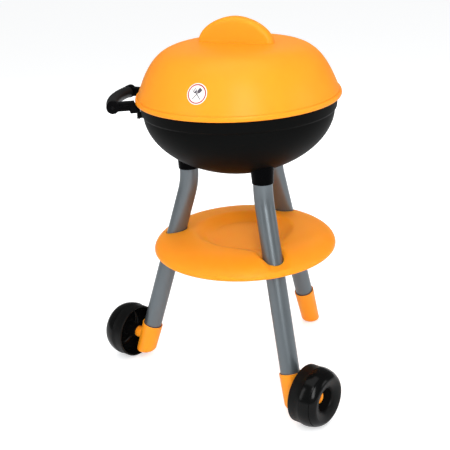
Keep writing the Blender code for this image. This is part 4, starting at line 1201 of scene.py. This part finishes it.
lid_plastic = moulded("orange_lid_plastic", ORANGE, 0.40, ripple=0.10, subsurface=0.2, specular=0.22)
shelf_plastic = moulded("orange_shelf_plastic", ORANGE, 0.42, ripple=0.08, subsurface=0.5, specular=0.20)
cap_plastic = moulded("orange_cap_plastic", ORANGE, 0.34, ripple=0.05, subsurface=0.2, specular=0.30)
sticker_paper = moulded("white_sticker_film", (0.78, 0.76, 0.74), 0.30, bump=0.01, specular=0.35)
ring_print = moulded("red_ring_print", (0.40, 0.020, 0.016), 0.30, bump=0.01, specular=0.35)
tool_print = moulded("grey_tool_print", (0.075, 0.062, 0.080), 0.30, bump=0.01, specular=0.35)
bowl_plastic = moulded("black_bowl_plastic", BOWL_BLACK, 0.50, grain=1200.0, bump=0.12, specular=0.045)
grate_plastic = moulded("black_grate_plastic", GRATE_BLACK, 0.50, specular=0.30)
socket_plastic = moulded("black_socket_plastic", SOCKET_BLACK, 0.28, bump=0.03, specular=0.03)
wheel_plastic = moulded("black_wheel_plastic", WHEEL_BLACK, 0.18, bump=0.03, ripple=0.04, specular=0.17)
# Paints shade into the wheels' hollow, and dulls their tread and face
dulled_with_painted_shade(wheel_plastic)
arm_plastic = moulded("black_arm_plastic", ARM_BLACK, 0.30, bump=0.03, specular=0.05)
grip_plastic = moulded("dark_grip_plastic", GRIP_GREY, 0.42, grain=500.0, bump=0.20, specular=0.24)
leg_paint = moulded(
    "grey_leg_paint", LEG_GREY, 0.36, grain=1500.0, bump=0.05, mottle=0.04, specular=0.4, metallic=0.72
)
plated_steel = moulded("plated_screw_steel", (0.55, 0.55, 0.56), 0.30, bump=0.02, metallic=1.0)
black_steel = moulded("black_screw_steel", (0.003, 0.003, 0.0035), 0.38, bump=0.02, specular=0.08)

make_lid(lid_plastic)
make_sticker(sticker_paper, ring_print, tool_print)
make_bowl(bowl_plastic)
make_grate(grate_plastic)
make_shelf(shelf_plastic)
for leg in AZIMUTHS:
    make_leg(leg, leg_paint)
    make_socket(leg, socket_plastic)
    make_cap(leg, cap_plastic)
for leg in WHEEL_SIDES:
    make_wheel(leg, wheel_plastic)
for side in ARM_TURNS:
    make_arm(side, arm_plastic)
make_grip(grip_plastic)

# The screws keep the frame's own shapes
for name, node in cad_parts.items():
    if "screw" in name:
        node.data.materials.clear()
        node.data.materials.append(black_steel if name.startswith("grip_") else plated_steel)


# Camera, lights and floor

CAMERA_PLACE = (0.98058, -1.24316, 0.91197)
CAMERA_HEADING = math.radians(40.127)
CAMERA_TILT = math.radians(-21.657)
CAMERA_ROLL = math.radians(-3.073)
CAMERA_LENS = 72.38
CAMERA_AZIMUTH = -51.2
OBJECT_MIDDLE = Vector((0.0, 0.0, 0.35))
FLOOR_REACH = 9.0

# Strength of the studio's walls as they light the object, and as they show in its gloss
DIFFUSE_LEVEL = 0.64
GLOSS_LEVEL = 0.15

# The floor's colour, and the light that it adds in the camera's sight
FLOOR_COLOUR = (0.76, 0.77, 0.78, 1.0)
FLOOR_GLOW = 0.45


def camera_matrix(place, heading, tilt, roll):
    """A camera at a place, with a heading from +Y, a tilt from level and a roll about its line of sight.

    Ahead = (-sin h cos t, cos h cos t, sin t). Side = right cos r + up sin r.
    """
    ahead = Vector((-math.sin(heading) * math.cos(tilt), math.cos(heading) * math.cos(tilt), math.sin(tilt)))
    right = ahead.cross(Vector((0.0, 0.0, 1.0))).normalized()
    up = right.cross(ahead)
    side = right * math.cos(roll) + up * math.sin(roll)
    rise = up * math.cos(roll) - right * math.sin(roll)
    matrix = Matrix((side, rise, -ahead)).transposed().to_4x4()
    matrix.translation = place
    return matrix


eye = bpy.data.cameras.new("photo_camera")
eye.lens = CAMERA_LENS
eye.sensor_width = 36.0
eye.clip_start = 0.05
camera = linked("photo_camera", eye)
camera.matrix_world = camera_matrix(CAMERA_PLACE, CAMERA_HEADING, CAMERA_TILT, CAMERA_ROLL)
bpy.context.scene.camera = camera


def add_softbox(name, place, width, height, power):
    """An area lamp that faces the middle of the object."""
    lamp = bpy.data.lights.new(name, "AREA")
    lamp.shape = "RECTANGLE"
    lamp.size = width
    lamp.size_y = height
    lamp.energy = power
    made = linked(name, lamp)
    made.location = place
    made.rotation_euler = (OBJECT_MIDDLE - Vector(place)).to_track_quat("-Z", "Y").to_euler()
    return made


def from_camera(side, distance, height):
    """A place at an angle to the right of the camera, seen from above, and at a distance and a height."""
    angle = math.radians(CAMERA_AZIMUTH + side)
    return (distance * math.cos(angle), distance * math.sin(angle), height)


add_softbox("top_softbox", (0.0, -0.2, 2.2), 1.6, 1.6, 10.0)
add_softbox("front_softbox", from_camera(6, 2.0, 1.55), 0.6, 1.7, 30.0)
add_softbox("left_softbox", from_camera(-54, 2.2, 1.25), 0.5, 1.8, 9.0)
add_softbox("right_softbox", from_camera(75, 2.2, 1.0), 0.9, 0.9, 6.0)
add_softbox("back_softbox", from_camera(176, 2.2, 1.25), 1.4, 0.7, 26.0).visible_glossy = False
add_softbox("back_sheen", from_camera(176, 2.2, 1.25), 1.4, 0.7, 3.5)
add_softbox("low_softbox", from_camera(8, 2.6, 0.50), 1.8, 0.6, 13.0).visible_glossy = False

world = bpy.data.worlds.new("studio")
bpy.context.scene.world = world
world.use_nodes = True
tree = world.node_tree
path = add_node(tree, "LightPath")
seen = add_node(tree, "Mix", {"A": DIFFUSE_LEVEL, "B": 1.0, "Factor": path.outputs["Is Camera Ray"]})
shares = {"A": seen.outputs["Result"], "B": GLOSS_LEVEL, "Factor": path.outputs["Is Glossy Ray"]}
level = add_node(tree, "Mix", shares)
feed(tree, tree.nodes["Background"], {"Color": (1.0, 1.0, 1.0, 1.0), "Strength": level.outputs["Result"]})

floor_x, floor_y = np.meshgrid([-FLOOR_REACH, FLOOR_REACH], [-FLOOR_REACH, FLOOR_REACH])
floor = object_of("floor", (np.stack([floor_x, floor_y, 0 * floor_x], -1), *SHEET))
floor_paint = bpy.data.materials.new("pale_floor")
floor_paint.use_nodes = True
tree = floor_paint.node_tree
tree.nodes.remove(tree.nodes["Principled BSDF"])
matte = add_node(tree, "BsdfDiffuse", {"Color": FLOOR_COLOUR})
sight = add_node(tree, "LightPath").outputs["Is Camera Ray"]
glow = add_node(tree, "Emission", {"Strength": calculated(tree, "MULTIPLY", sight, FLOOR_GLOW)})
both = add_node(tree, "AddShader", {0: matte.outputs[0], 1: glow.outputs[0]})
feed(tree, tree.nodes["Material Output"], {"Surface": both.outputs[0]})
floor.data.materials.append(floor_paint)

bpy.context.scene.view_settings.view_transform = "Standard"
